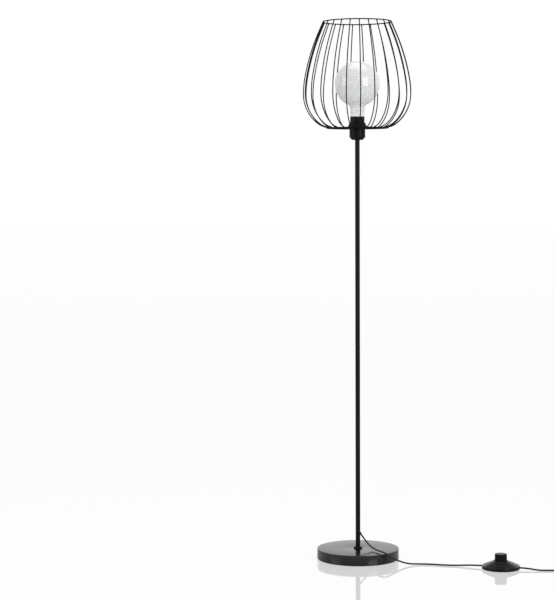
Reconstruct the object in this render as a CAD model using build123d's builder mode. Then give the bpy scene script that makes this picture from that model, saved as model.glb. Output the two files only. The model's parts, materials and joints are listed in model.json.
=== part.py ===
from build123d import *
import math
import os

# Floor lamp with a wire cage shade, a globe bulb and a foot switch on its cord.
# Millimetres. The origin is the centre of the base's underside, on the floor. +Z runs up
# the pole, +X points to the side on which the cord lies, and the front faces -Y.

os.makedirs("parts", exist_ok=True)

# ---------------------------------------------------------------- driving sizes
# Round base
base_radius = 114.0
base_height = 29.0
cover_wall = 1.0
cover_edge_radius = 1.5
pad_thickness = 1.5
pad_inset = 2.0
plate_thickness = 1.2
drop_in_gap = 0.3
nut_recess_radius = 18.0
nut_recess_depth = 12.0
washer_radius = 15.0
washer_thickness = 2.0
lock_washer_radius = 9.0
lock_washer_thickness = 1.0
nut_across_flats = 14.0
nut_height = 5.0

# Pole: three tubes, tapped at both ends for hollow threaded studs
pole_radius = 6.5
pole_wall = 1.45
pole_section_length = 379.5
pole_section_count = 3
stud_radius = 5.0
stud_bore_radius = 3.5
stud_length = 30.0
thread_gap = 0.05
collar_radius = 12.0
collar_height = 3.0
collar_gap = 0.1
collar_edge_radius = 1.2

# Mains cable, and the slanting bush through which it leaves the pole
cord_diameter = 4.6
cord_gap = 0.05
exit_height = 72.5
exit_turn = -30.0
exit_slope = 40.0
bush_wall = 1.0
bush_inside = 1.2
bush_outside = 3.5
cable_lean = 2.4
cable_bend_radius = 22.0
lean_start = 60.0
lean_length = 60.0

# Lampholder for a screw bulb, heights measured up from the top of the pole
cap_radius = 22.0
cap_height = 32.0
cap_foot_radius = 15.0
cap_chamfer_height = 7.5
cap_floor = 4.0
cap_wall = 4.0
cap_flange_radius = 26.0
cap_flange_height = 3.0
boss_radius = 8.5
boss_height = 10.0
lock_screw_radius = 1.5
lock_screw_length = 4.2
insulator_seat = 24.0
insulator_flange = 3.0
insulator_radius = 15.0
insulator_depth = 7.0
pillar_radius = 6.0
pillar_height = 6.0
terminal_length = 8.0
terminal_width = 6.0
terminal_thickness = 2.0
terminal_inner_edge = 5.0
terminal_screw_offset = 10.0
terminal_screw_radius = 1.5
terminal_head_radius = 2.6
terminal_head_height = 2.5
lead_radius = 1.0
lead_spacing = 2.4
sleeve_radius = 20.0
sleeve_wall = 5.0
sleeve_length = 36.5
sleeve_lip = 2.0
shell_radius = 14.1
shell_wall = 0.5
shell_length = 29.0
contact_rise = 2.2
contact_strip = 0.4
contact_width = 4.0
shade_ring_radius = 28.0
shade_ring_height = 13.5
shade_ring_lip = 1.8
shade_ring_top_radius = 22.5
grip_groove_count = 12
grip_groove_radius = 1.5

# Wire cage. The rib runs up from the bottom ring through two arcs to its belly, and on
# through two flatter arcs and a straight to the top ring.
cage_height = 291.4
rib_radius = 1.5
ring_wire_radius = 1.6
rib_count = 23
first_rib_angle = 2.7
rib_lean = 2.0
rib_lean_from = 27
rib_crowding = 1.3
rib_crowding_from = 139
belly_radius = 148.5
belly_height = 93.5
lower_bend_radius = 102.0
lower_bend_turn = 51.0
foot_bend_radius = 61.0
foot_bend_turn = 28.0
upper_bend_radius = 249.0
upper_bend_turn = 9.8
shoulder_bend_radius = 547.0
shoulder_bend_turn = 14.0
centre_ring_radius = 29.5
centre_ring_thickness = 1.5
arm_count = 3
first_arm_angle = 30.0
weld_depth = 0.3
slip_gap = 0.1

# Globe bulb with a screw cap
globe_radius = 62.5
globe_centre_rise = 90.2
globe_wall = 1.2
neck_radius = 19.5
neck_fillet = 12.0
bulb_collar_height = 12.5
bulb_collar_radius = 19.0
bulb_collar_wall = 1.6
bulb_gap = 0.3
thread_radius = 13.2
thread_root_radius = 12.2
thread_pitch = 3.629
thread_turns = 5
screw_cap_wall = 0.6
screw_cap_length = 23.2
screw_cap_foot = 11.5
bulb_insulator_height = 2.7
bulb_contact_height = 1.8
bulb_contact_radius = 4.5
carrier_gap = 0.1
led_board_thickness = 1.6
led_count = 12
led_size = 2.8
led_height = 0.8
led_circle_radius = 11.0
driver_width = 18.0
driver_thickness = 1.6

# Foot switch
switch_x = 388.0
switch_y = -134.0
switch_turn = -15.0
switch_radius = 51.5
switch_rim_height = 8.4
switch_dome_height = 23.0
switch_wall = 2.2
switch_ridge_count = 5
switch_ridge_step = 0.9
switch_rim_chamfer = 1.6
switch_guide_radius = 17.6
switch_guide_wall = 2.0
switch_guide_depth = 9.0
switch_foot_height = 1.2
switch_foot_radius = 6.0
switch_foot_circle = 34.0
switch_plate_thickness = 2.0
switch_gap = 0.3
button_radius = 17.0
button_top_radius = 16.4
button_height = 41.5
button_wall = 2.4
button_edge_radius = 2.0
button_flange = 2.6
button_flange_thickness = 1.5
button_travel = 4.0
button_post_radius = 2.5
module_length = 20.0
module_width = 18.0
module_height = 10.0
module_wall = 2.0
bridge_length = 14.0
bridge_width = 4.0
bridge_thickness = 1.0
bridge_depth = 1.0
fixed_contact_length = 4.0
fixed_contact_spacing = 9.0
spring_radius = 8.4
spring_wire_radius = 0.6
spring_half_turns = 13
switch_cord_height = 5.8
clamp_offset = 38.0
clamp_length = 6.0
clamp_width = 18.0
clamp_cover = 2.0
clamp_screw_offset = 5.6
small_screw_radius = 1.4
small_head_radius = 2.4
small_head_height = 1.6
block_offset = 26.0
block_length = 5.0
block_width = 7.0
block_height = 6.0
block_spacing = 14.0
cover_screw_circle = 41.0
cover_screw_depth = 6.0
cover_boss_radius = 3.6

# Put-away coil of cord and the plug on its end
coil_outer_radius = 35.0
coil_side_gap = 0.6
coil_layer_gap = 0.45
coil_inward_half_turns = 7
coil_outward_half_turns = 6
coil_lead = 12.0
coil_tail = 15.0
floor_gap = 0.1
relief_length = 22.0
relief_radius = 6.2
relief_tip_radius = 3.4
relief_groove_count = 4
relief_groove_width = 1.6
plug_length = 24.0
plug_width = 35.3
plug_thickness = 14.4
plug_rear_width = 17.0
plug_rear_thickness = 13.0
plug_corner = 5.5
pin_radius = 2.0
pin_length = 19.0
pin_spacing = 19.0
pin_root = 8.0
pin_root_radius = 1.5
pin_neck = 0.5
pin_tip_radius = 1.2

# ---------------------------------------------------------------- derived places
UP = (Align.CENTER, Align.CENTER, Align.MIN)
DOWN = (Align.CENTER, Align.CENTER, Align.MAX)

cord_radius = cord_diameter / 2
cover_inner_radius = base_radius - cover_wall
drop_in_radius = cover_inner_radius - drop_in_gap
plate_top = pad_thickness + plate_thickness
weight_top = base_height - cover_wall
recess_top = plate_top + nut_recess_depth
washer_bottom = recess_top - washer_thickness
nut_top = washer_bottom - lock_washer_thickness
nut_bottom = nut_top - nut_height
stud_hole_radius = stud_radius + 4 * thread_gap

pole_bore_radius = pole_radius - pole_wall
pole_top = base_height + pole_section_count * pole_section_length

insulator_bottom = pole_top + insulator_seat + insulator_flange - insulator_depth
sleeve_bottom = pole_top + insulator_seat + insulator_flange
sleeve_top = sleeve_bottom + sleeve_length
cap_top = pole_top + cap_height
socket_radius = sleeve_radius - slip_gap
ring_height = cap_top + centre_ring_thickness / 2
shade_ring_bottom = cap_top + centre_ring_thickness
pillar_top = sleeve_bottom + pillar_height
contact_top = pillar_top + contact_rise + contact_strip
terminal_bottom = insulator_bottom - terminal_thickness
cable_top = pole_top + cap_floor + 2 * cap_floor / 4

bulb_seat = sleeve_top + bulb_gap
globe_centre = bulb_seat + globe_centre_rise
screw_cap_bottom = bulb_seat - screw_cap_length
carrier_top = screw_cap_bottom - carrier_gap
bulb_tip = contact_top + bulb_gap

switch_plate_top = switch_foot_height + switch_plate_thickness
button_flange_top = switch_dome_height - switch_guide_depth - switch_gap
module_top = switch_plate_top + module_height
button_ceiling = button_height - button_wall


def heading(degrees):
    """Level unit vector at an angle from +X."""
    return Vector(math.cos(math.radians(degrees)), math.sin(math.radians(degrees)), 0)


switch_along = heading(switch_turn)
switch_centre = Vector(switch_x, switch_y, 0)
switch_plane = Plane(origin=switch_centre, x_dir=switch_along, z_dir=(0, 0, 1))
switch_side = Plane(origin=switch_centre, x_dir=switch_along, z_dir=heading(switch_turn - 90))
switch_axis = Axis(switch_centre, (0, 0, 1))
switch_inlet = switch_centre - switch_along * switch_radius + Vector(0, 0, switch_cord_height)
switch_outlet = switch_centre + switch_along * switch_radius + Vector(0, 0, switch_cord_height)

exit_side = heading(exit_turn)
exit_along = exit_side * math.sin(math.radians(exit_slope)) - Vector(
    0, 0, math.cos(math.radians(exit_slope))
)
exit_wall = exit_side * pole_radius + Vector(0, 0, exit_height)
exit_face = exit_wall + exit_along * bush_outside

floor_height = cord_radius + floor_gap
layer_rise = cord_diameter + coil_layer_gap
coil_pitch = cord_diameter + coil_side_gap

# The cord's points are chosen by hand along the line that it takes over the base and the floor.
cord_to_switch_points = [
    exit_face,
    exit_face + exit_along * 24,
    Vector(38, -25, 36.5),
    Vector(52, -49, 33.6),
    Vector(59, -76, 38.2),
    Vector(67, -101, 37.2),
    Vector(84, -113, 26),
    Vector(110, -107, 14),
    Vector(140, -97, 5),
    Vector(168, -87, floor_height),
    Vector(202, -90, floor_height),
    Vector(238, -101, floor_height),
    Vector(274, -104, floor_height + 0.2),
    switch_inlet - switch_along * 24,
    switch_inlet,
]
cord_after_switch_points = [
    switch_outlet,
    switch_outlet + switch_along * 20,
    Vector(486, -163, floor_height + 0.2),
    Vector(517, -163.5, floor_height),
    Vector(549, -159, floor_height),
    Vector(578, -159, floor_height),
]


# ---------------------------------------------------------------- helpers
def save(piece, node):
    """Label a finished piece and write it."""
    piece.part.label = node
    export_step(piece.part, f"parts/{node}.step")


def post(radius, bottom, top, mode=Mode.ADD):
    """Upright cylinder on the frame's own axis."""
    with Locations((0, 0, bottom)):
        Cylinder(radius, top - bottom, align=UP, mode=mode)


def spin(points, mode=Mode.ADD, plane=Plane.XZ, axis=Axis.Z):
    """Solid of revolution from a closed outline of (radius, height) points."""
    with BuildSketch(plane) as outline:
        with BuildLine():
            Polyline(*points, close=True)
        make_face()
    revolve(outline.sketch, axis=axis, mode=mode)


def slanting(origin, along, radius, start, end, mode=Mode.ADD):
    """Cylinder along any line, between two distances from its origin."""
    with BuildSketch(Plane(origin=origin + along * start, z_dir=along)) as section:
        Circle(radius)
    extrude(section.sketch, amount=end - start, mode=mode)


def corner_radii(points):
    """Largest arcs that the runs on both sides of each corner allow."""
    radii = []
    for before, corner, after in zip(points, points[1:], points[2:]):
        into, out = corner - before, after - corner
        half_turn = math.radians(into.get_angle(out)) / 2
        radii.append(0.45 * min(into.length, out.length) / math.tan(half_turn))
    return radii


def cord_tube(points, node):
    """Round cord along straight runs joined by tangent arcs."""
    radii = corner_radii(points)
    with BuildPart() as tube:
        with BuildLine() as route:
            FilletPolyline(*points, radius=radii)
        with BuildSketch(Plane(origin=points[0], z_dir=points[1] - points[0])):
            Circle(cord_radius)
        sweep(path=route.wires()[0])
    length = route.wires()[0].length
    share = tube.part.volume / (math.pi * cord_radius**2 * length)
    print(node, "length", round(length, 1), "volume share", round(share, 4))
    print("  radii", [round(radius, 1) for radius in radii])
    print("  lowest point", round(tube.part.bounding_box().min.Z, 3))
    save(tube, node)
    return length


def half_turn_path(start, direction, steps):
    """Half turns to the left, level at both ends: (radius, rise) each, and where they end."""
    arcs = []
    for radius, rise in steps:
        across = Vector(-direction.Y, direction.X, 0)
        end = start + across * 2 * radius + Vector(0, 0, rise)
        middle = (start + end) / 2
        half_chord = (end - start).length / 2
        arcs.append((start, middle + direction * half_chord, end))
        start, direction = end, direction * -1
    return arcs, start, direction


def samples_of(wire, spacing):
    """Points along a wire, about evenly spaced."""
    count = int(wire.length / spacing)
    return [wire.position_at(index / count) for index in range(count + 1)]


def least_self_gap(points, spacing):
    """Least distance between turns, less the cord's thickness."""
    skip = int(3 * cord_diameter / spacing)
    nearest = min(
        (first - second).length
        for index, first in enumerate(points)
        for second in points[index + skip :]
    )
    return nearest - cord_diameter


# ---------------------------------------------------------------- base
with BuildPart() as base_pad:
    post(base_radius - pad_inset, 0, pad_thickness)
save(base_pad, "base_pad")

with BuildPart() as base_bottom_plate:
    post(drop_in_radius, pad_thickness, plate_top)
save(base_bottom_plate, "base_bottom_plate")

with BuildPart() as base_weight:
    post(drop_in_radius, plate_top, weight_top)
    post(nut_recess_radius, plate_top, recess_top, Mode.SUBTRACT)
    post(stud_hole_radius, plate_top, weight_top, Mode.SUBTRACT)
save(base_weight, "base_weight")

with BuildPart() as base_cover:
    post(base_radius, pad_thickness, base_height)
    rim = base_cover.edges().filter_by(GeomType.CIRCLE).group_by(Axis.Z)[-1]
    fillet(rim, radius=cover_edge_radius)
    post(cover_inner_radius, pad_thickness, weight_top, Mode.SUBTRACT)
    post(stud_hole_radius, weight_top, base_height, Mode.SUBTRACT)
save(base_cover, "base_cover")

with BuildPart() as base_stud:
    post(stud_radius, nut_bottom - lock_washer_thickness, base_height + stud_length / 2)
    post(stud_bore_radius, 0, base_height + stud_length, Mode.SUBTRACT)
save(base_stud, "base_stud")

with BuildPart() as base_washer:
    post(washer_radius, washer_bottom, recess_top)
    post(stud_hole_radius, washer_bottom, recess_top, Mode.SUBTRACT)
save(base_washer, "base_washer")

with BuildPart() as base_lock_washer:
    post(lock_washer_radius, nut_top, washer_bottom)
    post(stud_hole_radius, nut_top, washer_bottom, Mode.SUBTRACT)
    with PolarLocations(lock_washer_radius, 12):
        with Locations((0, 0, nut_top)):
            Cylinder(lock_washer_thickness, lock_washer_thickness, align=UP, mode=Mode.SUBTRACT)
save(base_lock_washer, "base_lock_washer")

with BuildPart() as base_nut:
    with BuildSketch(Plane.XY.offset(nut_bottom)):
        RegularPolygon(nut_across_flats / 2, 6, major_radius=False)
        Circle(stud_radius + thread_gap, mode=Mode.SUBTRACT)
    extrude(amount=nut_height)
save(base_nut, "base_nut")

# ---------------------------------------------------------------- pole
with BuildPart() as pole_foot_collar:
    post(collar_radius, base_height, base_height + collar_height)
    fillet(pole_foot_collar.edges().group_by(Axis.Z)[-1], radius=collar_edge_radius)
    post(pole_radius + collar_gap, base_height, base_height + collar_height, Mode.SUBTRACT)
save(pole_foot_collar, "pole_foot_collar")


def pole_section(bottom, node, has_exit):
    """One tube of the pole, the lowest with the slanting hole for the cable."""
    top = bottom + pole_section_length
    with BuildPart() as section:
        post(pole_radius, bottom, top)
        post(pole_bore_radius, bottom, top, Mode.SUBTRACT)
        if has_exit:
            bush_radius = cord_radius + cord_gap + bush_wall
            slanting(exit_wall, exit_along, bush_radius + cord_gap, -6, 8, Mode.SUBTRACT)
    save(section, node)


for index, name in enumerate(("pole_lower", "pole_middle", "pole_upper")):
    pole_section(base_height + index * pole_section_length, name, index == 0)


def pole_stud(middle, node, below=stud_length / 2, above=stud_length / 2):
    """Hollow threaded stud across a joint of the pole."""
    with BuildPart() as stud:
        post(stud_radius, middle - below, middle + above)
        post(stud_bore_radius, middle - below, middle + above, Mode.SUBTRACT)
        chamfer(stud.edges().filter_by(GeomType.CIRCLE).sort_by(SortBy.RADIUS)[-2:], length=0.6)
    save(stud, node)


pole_stud(base_height + pole_section_length, "pole_stud_lower")
pole_stud(base_height + 2 * pole_section_length, "pole_stud_upper")

with BuildPart() as cable_bush:
    slanting(exit_wall, exit_along, cord_radius + cord_gap + bush_wall, -bush_inside, bush_outside)
    slanting(exit_wall, exit_along, cord_radius + cord_gap, -bush_inside, bush_outside, Mode.SUBTRACT)
save(cable_bush, "cable_bush")

lean = exit_side * -cable_lean
bend_drop = (pole_radius + cable_lean) / math.tan(math.radians(exit_slope))
bend_corner = lean + Vector(0, 0, exit_height + bend_drop)
cable_points = [
    Vector(0, 0, cable_top),
    bend_corner - lean + Vector(0, 0, lean_start + lean_length),
    bend_corner + Vector(0, 0, lean_start),
    bend_corner,
    exit_face,
]
with BuildPart() as cable_in_pole:
    with BuildLine() as cable_route:
        FilletPolyline(*cable_points, radius=[500.0, 500.0, cable_bend_radius])
    with BuildSketch(Plane(origin=cable_points[0], z_dir=(0, 0, -1))):
        Circle(cord_radius)
    sweep(path=cable_route.wires()[0])
save(cable_in_pole, "cable_in_pole")
print("cable_in_pole length", round(cable_route.wires()[0].length, 1))

# ---------------------------------------------------------------- lampholder
pole_stud(pole_top, "holder_stud", above=boss_height - 1)

with BuildPart() as holder_cap:
    inner_radius = cap_radius - cap_wall
    floor_radius = cap_foot_radius - 1
    spin(
        [
            (0, pole_top),
            (cap_foot_radius, pole_top),
            (cap_radius, pole_top + cap_chamfer_height),
            (cap_radius, cap_top - cap_flange_height),
            (cap_flange_radius, cap_top - cap_flange_height),
            (cap_flange_radius, cap_top),
            (0, cap_top),
        ]
    )
    spin(
        [
            (0, pole_top + cap_floor),
            (floor_radius, pole_top + cap_floor),
            (inner_radius, pole_top + cap_chamfer_height + 1),
            (inner_radius, pole_top + insulator_seat),
            (socket_radius, pole_top + insulator_seat),
            (socket_radius, cap_top),
            (0, cap_top),
        ],
        Mode.SUBTRACT,
    )
    post(boss_radius, pole_top + cap_floor, pole_top + boss_height)
    post(stud_radius + thread_gap, pole_top, pole_top + boss_height, Mode.SUBTRACT)
    screw_height = Vector(0, 0, pole_top + (cap_floor + boss_height) / 2)
    slanting(screw_height, Vector(1, 0, 0), lock_screw_radius, stud_radius, boss_radius, Mode.SUBTRACT)
save(holder_cap, "holder_cap")

with BuildPart() as holder_lock_screw:
    screw_start = stud_radius + thread_gap
    screw_end = screw_start + lock_screw_length
    slanting(screw_height, Vector(1, 0, 0), lock_screw_radius - thread_gap, screw_start, screw_end)
    with Locations((screw_end, 0, screw_height.Z)):
        Box(1.0, 2 * lock_screw_radius, 0.6, mode=Mode.SUBTRACT)
save(holder_lock_screw, "holder_lock_screw")

with BuildPart() as holder_insulator:
    post(insulator_radius, insulator_bottom, sleeve_bottom)
    post(socket_radius - slip_gap, pole_top + insulator_seat, sleeve_bottom)
    post(pillar_radius, sleeve_bottom, pillar_top)
    with Locations(
        (terminal_screw_offset, 0, insulator_bottom), (-terminal_screw_offset, 0, insulator_bottom)
    ):
        Cylinder(terminal_screw_radius, insulator_depth - 2, align=UP, mode=Mode.SUBTRACT)
save(holder_insulator, "holder_insulator")

with BuildPart() as holder_terminals:
    for side in (-1, 1):
        with Locations((side * (terminal_inner_edge + terminal_length / 2), 0, terminal_bottom)):
            Box(terminal_length, terminal_width, terminal_thickness, align=UP)
        with Locations((side * terminal_screw_offset, 0, terminal_bottom)):
            Cylinder(terminal_screw_radius, terminal_thickness, align=UP, mode=Mode.SUBTRACT)
save(holder_terminals, "holder_terminals")

with BuildPart() as holder_terminal_screws:
    for side in (-1, 1):
        with Locations((side * terminal_screw_offset, 0, terminal_bottom)):
            shank = terminal_thickness + insulator_depth - 3
            Cylinder(terminal_screw_radius - thread_gap, shank, align=UP)
            Cylinder(terminal_head_radius, terminal_head_height, align=DOWN)
        with Locations((side * terminal_screw_offset, 0, terminal_bottom - terminal_head_height)):
            Box(2 * terminal_head_radius, 0.8, 1.0, align=UP, mode=Mode.SUBTRACT)
save(holder_terminal_screws, "holder_terminal_screws")

lead_end = terminal_inner_edge + lead_radius + 0.2
with BuildPart() as holder_leads:
    for side in (-1, 1):
        lead_start = Vector(side * lead_spacing / 2, 0, cable_top)
        with BuildLine() as lead_route:
            FilletPolyline(
                lead_start,
                lead_start + Vector(0, 0, 5),
                Vector(side * lead_end, 0, terminal_bottom - 4),
                Vector(side * lead_end, 0, terminal_bottom),
                radius=1.6,
            )
        with BuildSketch(Plane.XY.offset(cable_top)):
            with Locations((side * lead_spacing / 2, 0)):
                Circle(lead_radius)
        sweep(path=lead_route.wires()[0])
save(holder_leads, "holder_leads")

with BuildPart() as holder_centre_contact:
    strip_edge = pillar_radius - 1
    with BuildSketch(Plane.XZ) as strip:
        with BuildLine():
            Polyline(
                (-strip_edge, pillar_top),
                (-strip_edge / 2, pillar_top),
                (0.5, pillar_top + contact_rise),
                (strip_edge / 2, pillar_top + contact_rise),
                (strip_edge / 2, contact_top),
                (0.3, contact_top),
                (-strip_edge / 2 - 0.2, pillar_top + contact_strip),
                (-strip_edge, pillar_top + contact_strip),
                close=True,
            )
        make_face()
    extrude(amount=contact_width / 2, both=True)
save(holder_centre_contact, "holder_centre_contact")

with BuildPart() as holder_screw_shell:
    post(shell_radius, sleeve_bottom, sleeve_bottom + shell_length)
    post(shell_radius - shell_wall, sleeve_bottom, sleeve_bottom + shell_length, Mode.SUBTRACT)
save(holder_screw_shell, "holder_screw_shell")

with BuildPart() as holder_sleeve:
    post(socket_radius - slip_gap, sleeve_bottom, cap_top)
    post(sleeve_radius, cap_top, sleeve_top)
    fillet(holder_sleeve.edges().group_by(Axis.Z)[-1], radius=0.8)
    post(sleeve_radius - sleeve_wall, sleeve_bottom, sleeve_top - sleeve_lip, Mode.SUBTRACT)
    post(shell_radius + slip_gap, sleeve_top - sleeve_lip, sleeve_top, Mode.SUBTRACT)
save(holder_sleeve, "holder_sleeve")

with BuildPart() as shade_ring:
    bore = sleeve_radius + slip_gap
    lip_top = shade_ring_bottom + shade_ring_lip
    spin(
        [
            (bore, shade_ring_bottom),
            (shade_ring_radius, shade_ring_bottom),
            (shade_ring_radius, lip_top),
            (shade_ring_radius - grip_groove_radius, lip_top),
            (shade_ring_top_radius, shade_ring_bottom + shade_ring_height),
            (bore, shade_ring_bottom + shade_ring_height),
        ]
    )
    with PolarLocations(shade_ring_radius - grip_groove_radius / 2, grip_groove_count):
        with Locations((0, 0, lip_top)):
            Cylinder(grip_groove_radius, shade_ring_height, align=UP, mode=Mode.SUBTRACT)
save(shade_ring, "shade_ring")


# ---------------------------------------------------------------- wire cage
def bend(start, tilt, radius, turn, upward):
    """Middle and end of an arc that leans further in, from a tilt off the vertical."""
    points = []
    for angle in (tilt + turn / 2, tilt + turn):
        inward = radius * (math.cos(math.radians(tilt)) - math.cos(math.radians(angle)))
        along = radius * (math.sin(math.radians(angle)) - math.sin(math.radians(tilt)))
        points.append((start[0] - inward, start[1] + (along if upward else -along)))
    return points


def rib_arcs(bends, upward):
    """Three points of each arc on one side of the belly, and the tilt at the end."""
    point, tilt, arcs = (belly_radius, ring_height + belly_height), 0.0, []
    for radius, turn in bends:
        middle, end = bend(point, tilt, radius, turn, upward)
        arcs.append((point, middle, end))
        point, tilt = end, tilt + turn
    return arcs, tilt


lower_bends = ((lower_bend_radius, lower_bend_turn), (foot_bend_radius, foot_bend_turn))
upper_bends = ((upper_bend_radius, upper_bend_turn), (shoulder_bend_radius, shoulder_bend_turn))
lower_arcs, _ = rib_arcs(lower_bends, upward=False)
upper_arcs, top_tilt = rib_arcs(upper_bends, upward=True)
bottom_ring_radius = lower_arcs[-1][2][0]
rib_bottom_height = lower_arcs[-1][2][1]
straight_start = upper_arcs[-1][2]
top_ring_height = ring_height + cage_height
top_lean = math.tan(math.radians(top_tilt))
top_ring_radius = straight_start[0] - (top_ring_height - straight_start[1]) * top_lean
rib_top_height = top_ring_height - ring_wire_radius + weld_depth
rib_top_radius = top_ring_radius + (top_ring_height - rib_top_height) * top_lean

with BuildPart() as rib:
    with BuildLine(Plane.XZ) as rib_route:
        for first, middle, last in reversed(lower_arcs):
            ThreePointArc(last, middle, first)
        for first, middle, last in upper_arcs:
            ThreePointArc(first, middle, last)
        Line(straight_start, (rib_top_radius, rib_top_height))
    rib_wire = rib_route.wires()[0]
    with BuildSketch(Plane(origin=rib_wire @ 0, z_dir=rib_wire % 0)):
        Circle(rib_radius)
    sweep(path=rib_wire)

with BuildPart() as cage_ribs:
    for index in range(rib_count):
        # The welds wander a little from even spacing.
        even_angle = index * 360 / rib_count
        lean = rib_lean * math.cos(math.radians(even_angle + rib_lean_from))
        crowding = rib_crowding * math.cos(math.radians(2 * even_angle + rib_crowding_from))
        add(rib.part, rotation=(0, 0, first_rib_angle + even_angle + lean + crowding - 90))
save(cage_ribs, "cage_ribs")
print("cage rings", round(bottom_ring_radius, 2), round(top_ring_radius, 2), "ribs", len(cage_ribs.solids()))

with BuildPart() as cage_top_ring:
    with Locations((0, 0, top_ring_height)):
        Torus(top_ring_radius, ring_wire_radius)
save(cage_top_ring, "cage_top_ring")

with BuildPart() as cage_bottom_ring:
    with Locations((0, 0, ring_height)):
        Torus(bottom_ring_radius, ring_wire_radius)
save(cage_bottom_ring, "cage_bottom_ring")

with BuildPart() as cage_centre_ring:
    post(centre_ring_radius, cap_top, shade_ring_bottom)
    post(sleeve_radius + slip_gap, cap_top, shade_ring_bottom, Mode.SUBTRACT)
save(cage_centre_ring, "cage_centre_ring")

with BuildPart() as cage_arms:
    for index in range(arm_count):
        along = heading(first_arm_angle + index * 360 / arm_count)
        centre = Vector(0, 0, ring_height)
        slanting(centre, along, rib_radius, centre_ring_radius - weld_depth, bottom_ring_radius)
save(cage_arms, "cage_arms")


# ---------------------------------------------------------------- bulb
def arc_about(centre, radius, start, end):
    """Three points of an arc about a centre, between two angles in degrees."""
    angles = [math.radians(angle) for angle in (start, (start + end) / 2, end)]
    return [
        (centre[0] + radius * math.cos(angle), centre[1] + radius * math.sin(angle))
        for angle in angles
    ]


collar_top = bulb_seat + bulb_collar_height
fillet_out = neck_radius + neck_fillet
fillet_drop = math.sqrt((globe_radius + neck_fillet) ** 2 - fillet_out**2)
fillet_centre = (fillet_out, globe_centre - fillet_drop)
meet_angle = -math.degrees(math.atan2(fillet_drop, fillet_out))

with BuildPart() as bulb_globe:
    for inset, mode in ((0, Mode.ADD), (globe_wall, Mode.SUBTRACT)):
        with BuildSketch(Plane.XZ) as globe_outline:
            with BuildLine():
                Line((0, collar_top), (neck_radius - inset, collar_top))
                Line((neck_radius - inset, collar_top), (neck_radius - inset, fillet_centre[1]))
                ThreePointArc(*arc_about(fillet_centre, neck_fillet + inset, 180, 180 + meet_angle))
                ThreePointArc(*arc_about((0, globe_centre), globe_radius - inset, meet_angle, 90))
                Line((0, globe_centre + globe_radius - inset), (0, collar_top))
            make_face()
        revolve(axis=Axis.Z, mode=mode)
save(bulb_globe, "bulb_globe")

board_bottom = collar_top - led_board_thickness
with BuildPart() as bulb_collar:
    collar_bore = bulb_collar_radius - bulb_collar_wall
    post(bulb_collar_radius, bulb_seat, collar_top)
    fillet(bulb_collar.edges().group_by(Axis.Z)[0], radius=1.2)
    post(collar_bore - 1, bulb_seat + bulb_collar_wall, board_bottom, Mode.SUBTRACT)
    post(collar_bore, board_bottom, collar_top, Mode.SUBTRACT)
    post(thread_root_radius - screw_cap_wall, bulb_seat, collar_top, Mode.SUBTRACT)
save(bulb_collar, "bulb_collar")

with BuildPart() as bulb_screw_cap:
    thread_top = bulb_seat - (screw_cap_length - thread_turns * thread_pitch) / 2
    thread_depth = thread_radius - thread_root_radius
    with BuildSketch(Plane.XZ):
        with BuildLine():
            Polyline(
                (thread_root_radius, bulb_seat),
                (thread_root_radius - screw_cap_wall, bulb_seat),
                (screw_cap_foot - screw_cap_wall, screw_cap_bottom),
                (screw_cap_foot, screw_cap_bottom),
                (thread_root_radius, thread_top - thread_turns * thread_pitch),
            )
            for index in range(thread_turns, 0, -1):
                round_bottom = thread_top - index * thread_pitch
                round_top = round_bottom + thread_pitch
                ThreePointArc(
                    (thread_root_radius, round_bottom),
                    (thread_root_radius + thread_depth, (round_bottom + round_top) / 2),
                    (thread_root_radius, round_top),
                )
            Line((thread_root_radius, thread_top), (thread_root_radius, bulb_seat))
        make_face()
    revolve(axis=Axis.Z)
save(bulb_screw_cap, "bulb_screw_cap")

with BuildPart() as bulb_insulator:
    insulator_foot = bulb_tip + bulb_contact_height
    spin(
        [
            (0, insulator_foot),
            (bulb_contact_radius + 0.5, insulator_foot),
            (screw_cap_foot - 0.3, carrier_top),
            (0, carrier_top),
        ]
    )
save(bulb_insulator, "bulb_insulator")

with BuildPart() as bulb_contact:
    spin(
        [
            (0, bulb_tip),
            (bulb_contact_radius / 2, bulb_tip),
            (bulb_contact_radius, bulb_tip + bulb_contact_height / 2),
            (bulb_contact_radius, insulator_foot),
            (0, insulator_foot),
        ]
    )
save(bulb_contact, "bulb_contact")

with BuildPart() as bulb_led_board:
    post(collar_bore - slip_gap, board_bottom, collar_top)
save(bulb_led_board, "bulb_led_board")

with BuildPart() as bulb_leds:
    with PolarLocations(led_circle_radius, led_count):
        with Locations((0, 0, collar_top)):
            Box(led_size, led_size, led_height, align=UP)
save(bulb_leds, "bulb_leds")

with BuildPart() as bulb_driver_board:
    driver_bottom = screw_cap_bottom + driver_thickness
    with Locations((0, 0, driver_bottom)):
        Box(driver_width, driver_thickness, board_bottom - driver_bottom, align=UP)
save(bulb_driver_board, "bulb_driver_board")

# ---------------------------------------------------------------- foot switch
cover_inner = switch_radius - switch_wall
guide_outer = switch_guide_radius + switch_guide_wall
guide_bottom = switch_dome_height - switch_guide_depth

with BuildPart() as switch_feet:
    with BuildSketch(switch_plane):
        with PolarLocations(switch_foot_circle, 4, start_angle=45):
            Circle(switch_foot_radius)
    extrude(amount=switch_foot_height)
save(switch_feet, "switch_feet")

with BuildPart() as switch_base_plate:
    with BuildSketch(switch_plane.offset(switch_foot_height)):
        Circle(cover_inner - switch_gap)
        with PolarLocations(cover_screw_circle, 4, start_angle=45):
            Circle(small_screw_radius + thread_gap, mode=Mode.SUBTRACT)
    extrude(amount=switch_plate_thickness)
    with BuildSketch(switch_plane.offset(switch_foot_height)):
        with PolarLocations(cover_screw_circle, 4, start_angle=45):
            Circle(small_head_radius + thread_gap)
    extrude(amount=small_head_height, mode=Mode.SUBTRACT)
save(switch_base_plate, "switch_base_plate")

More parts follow.
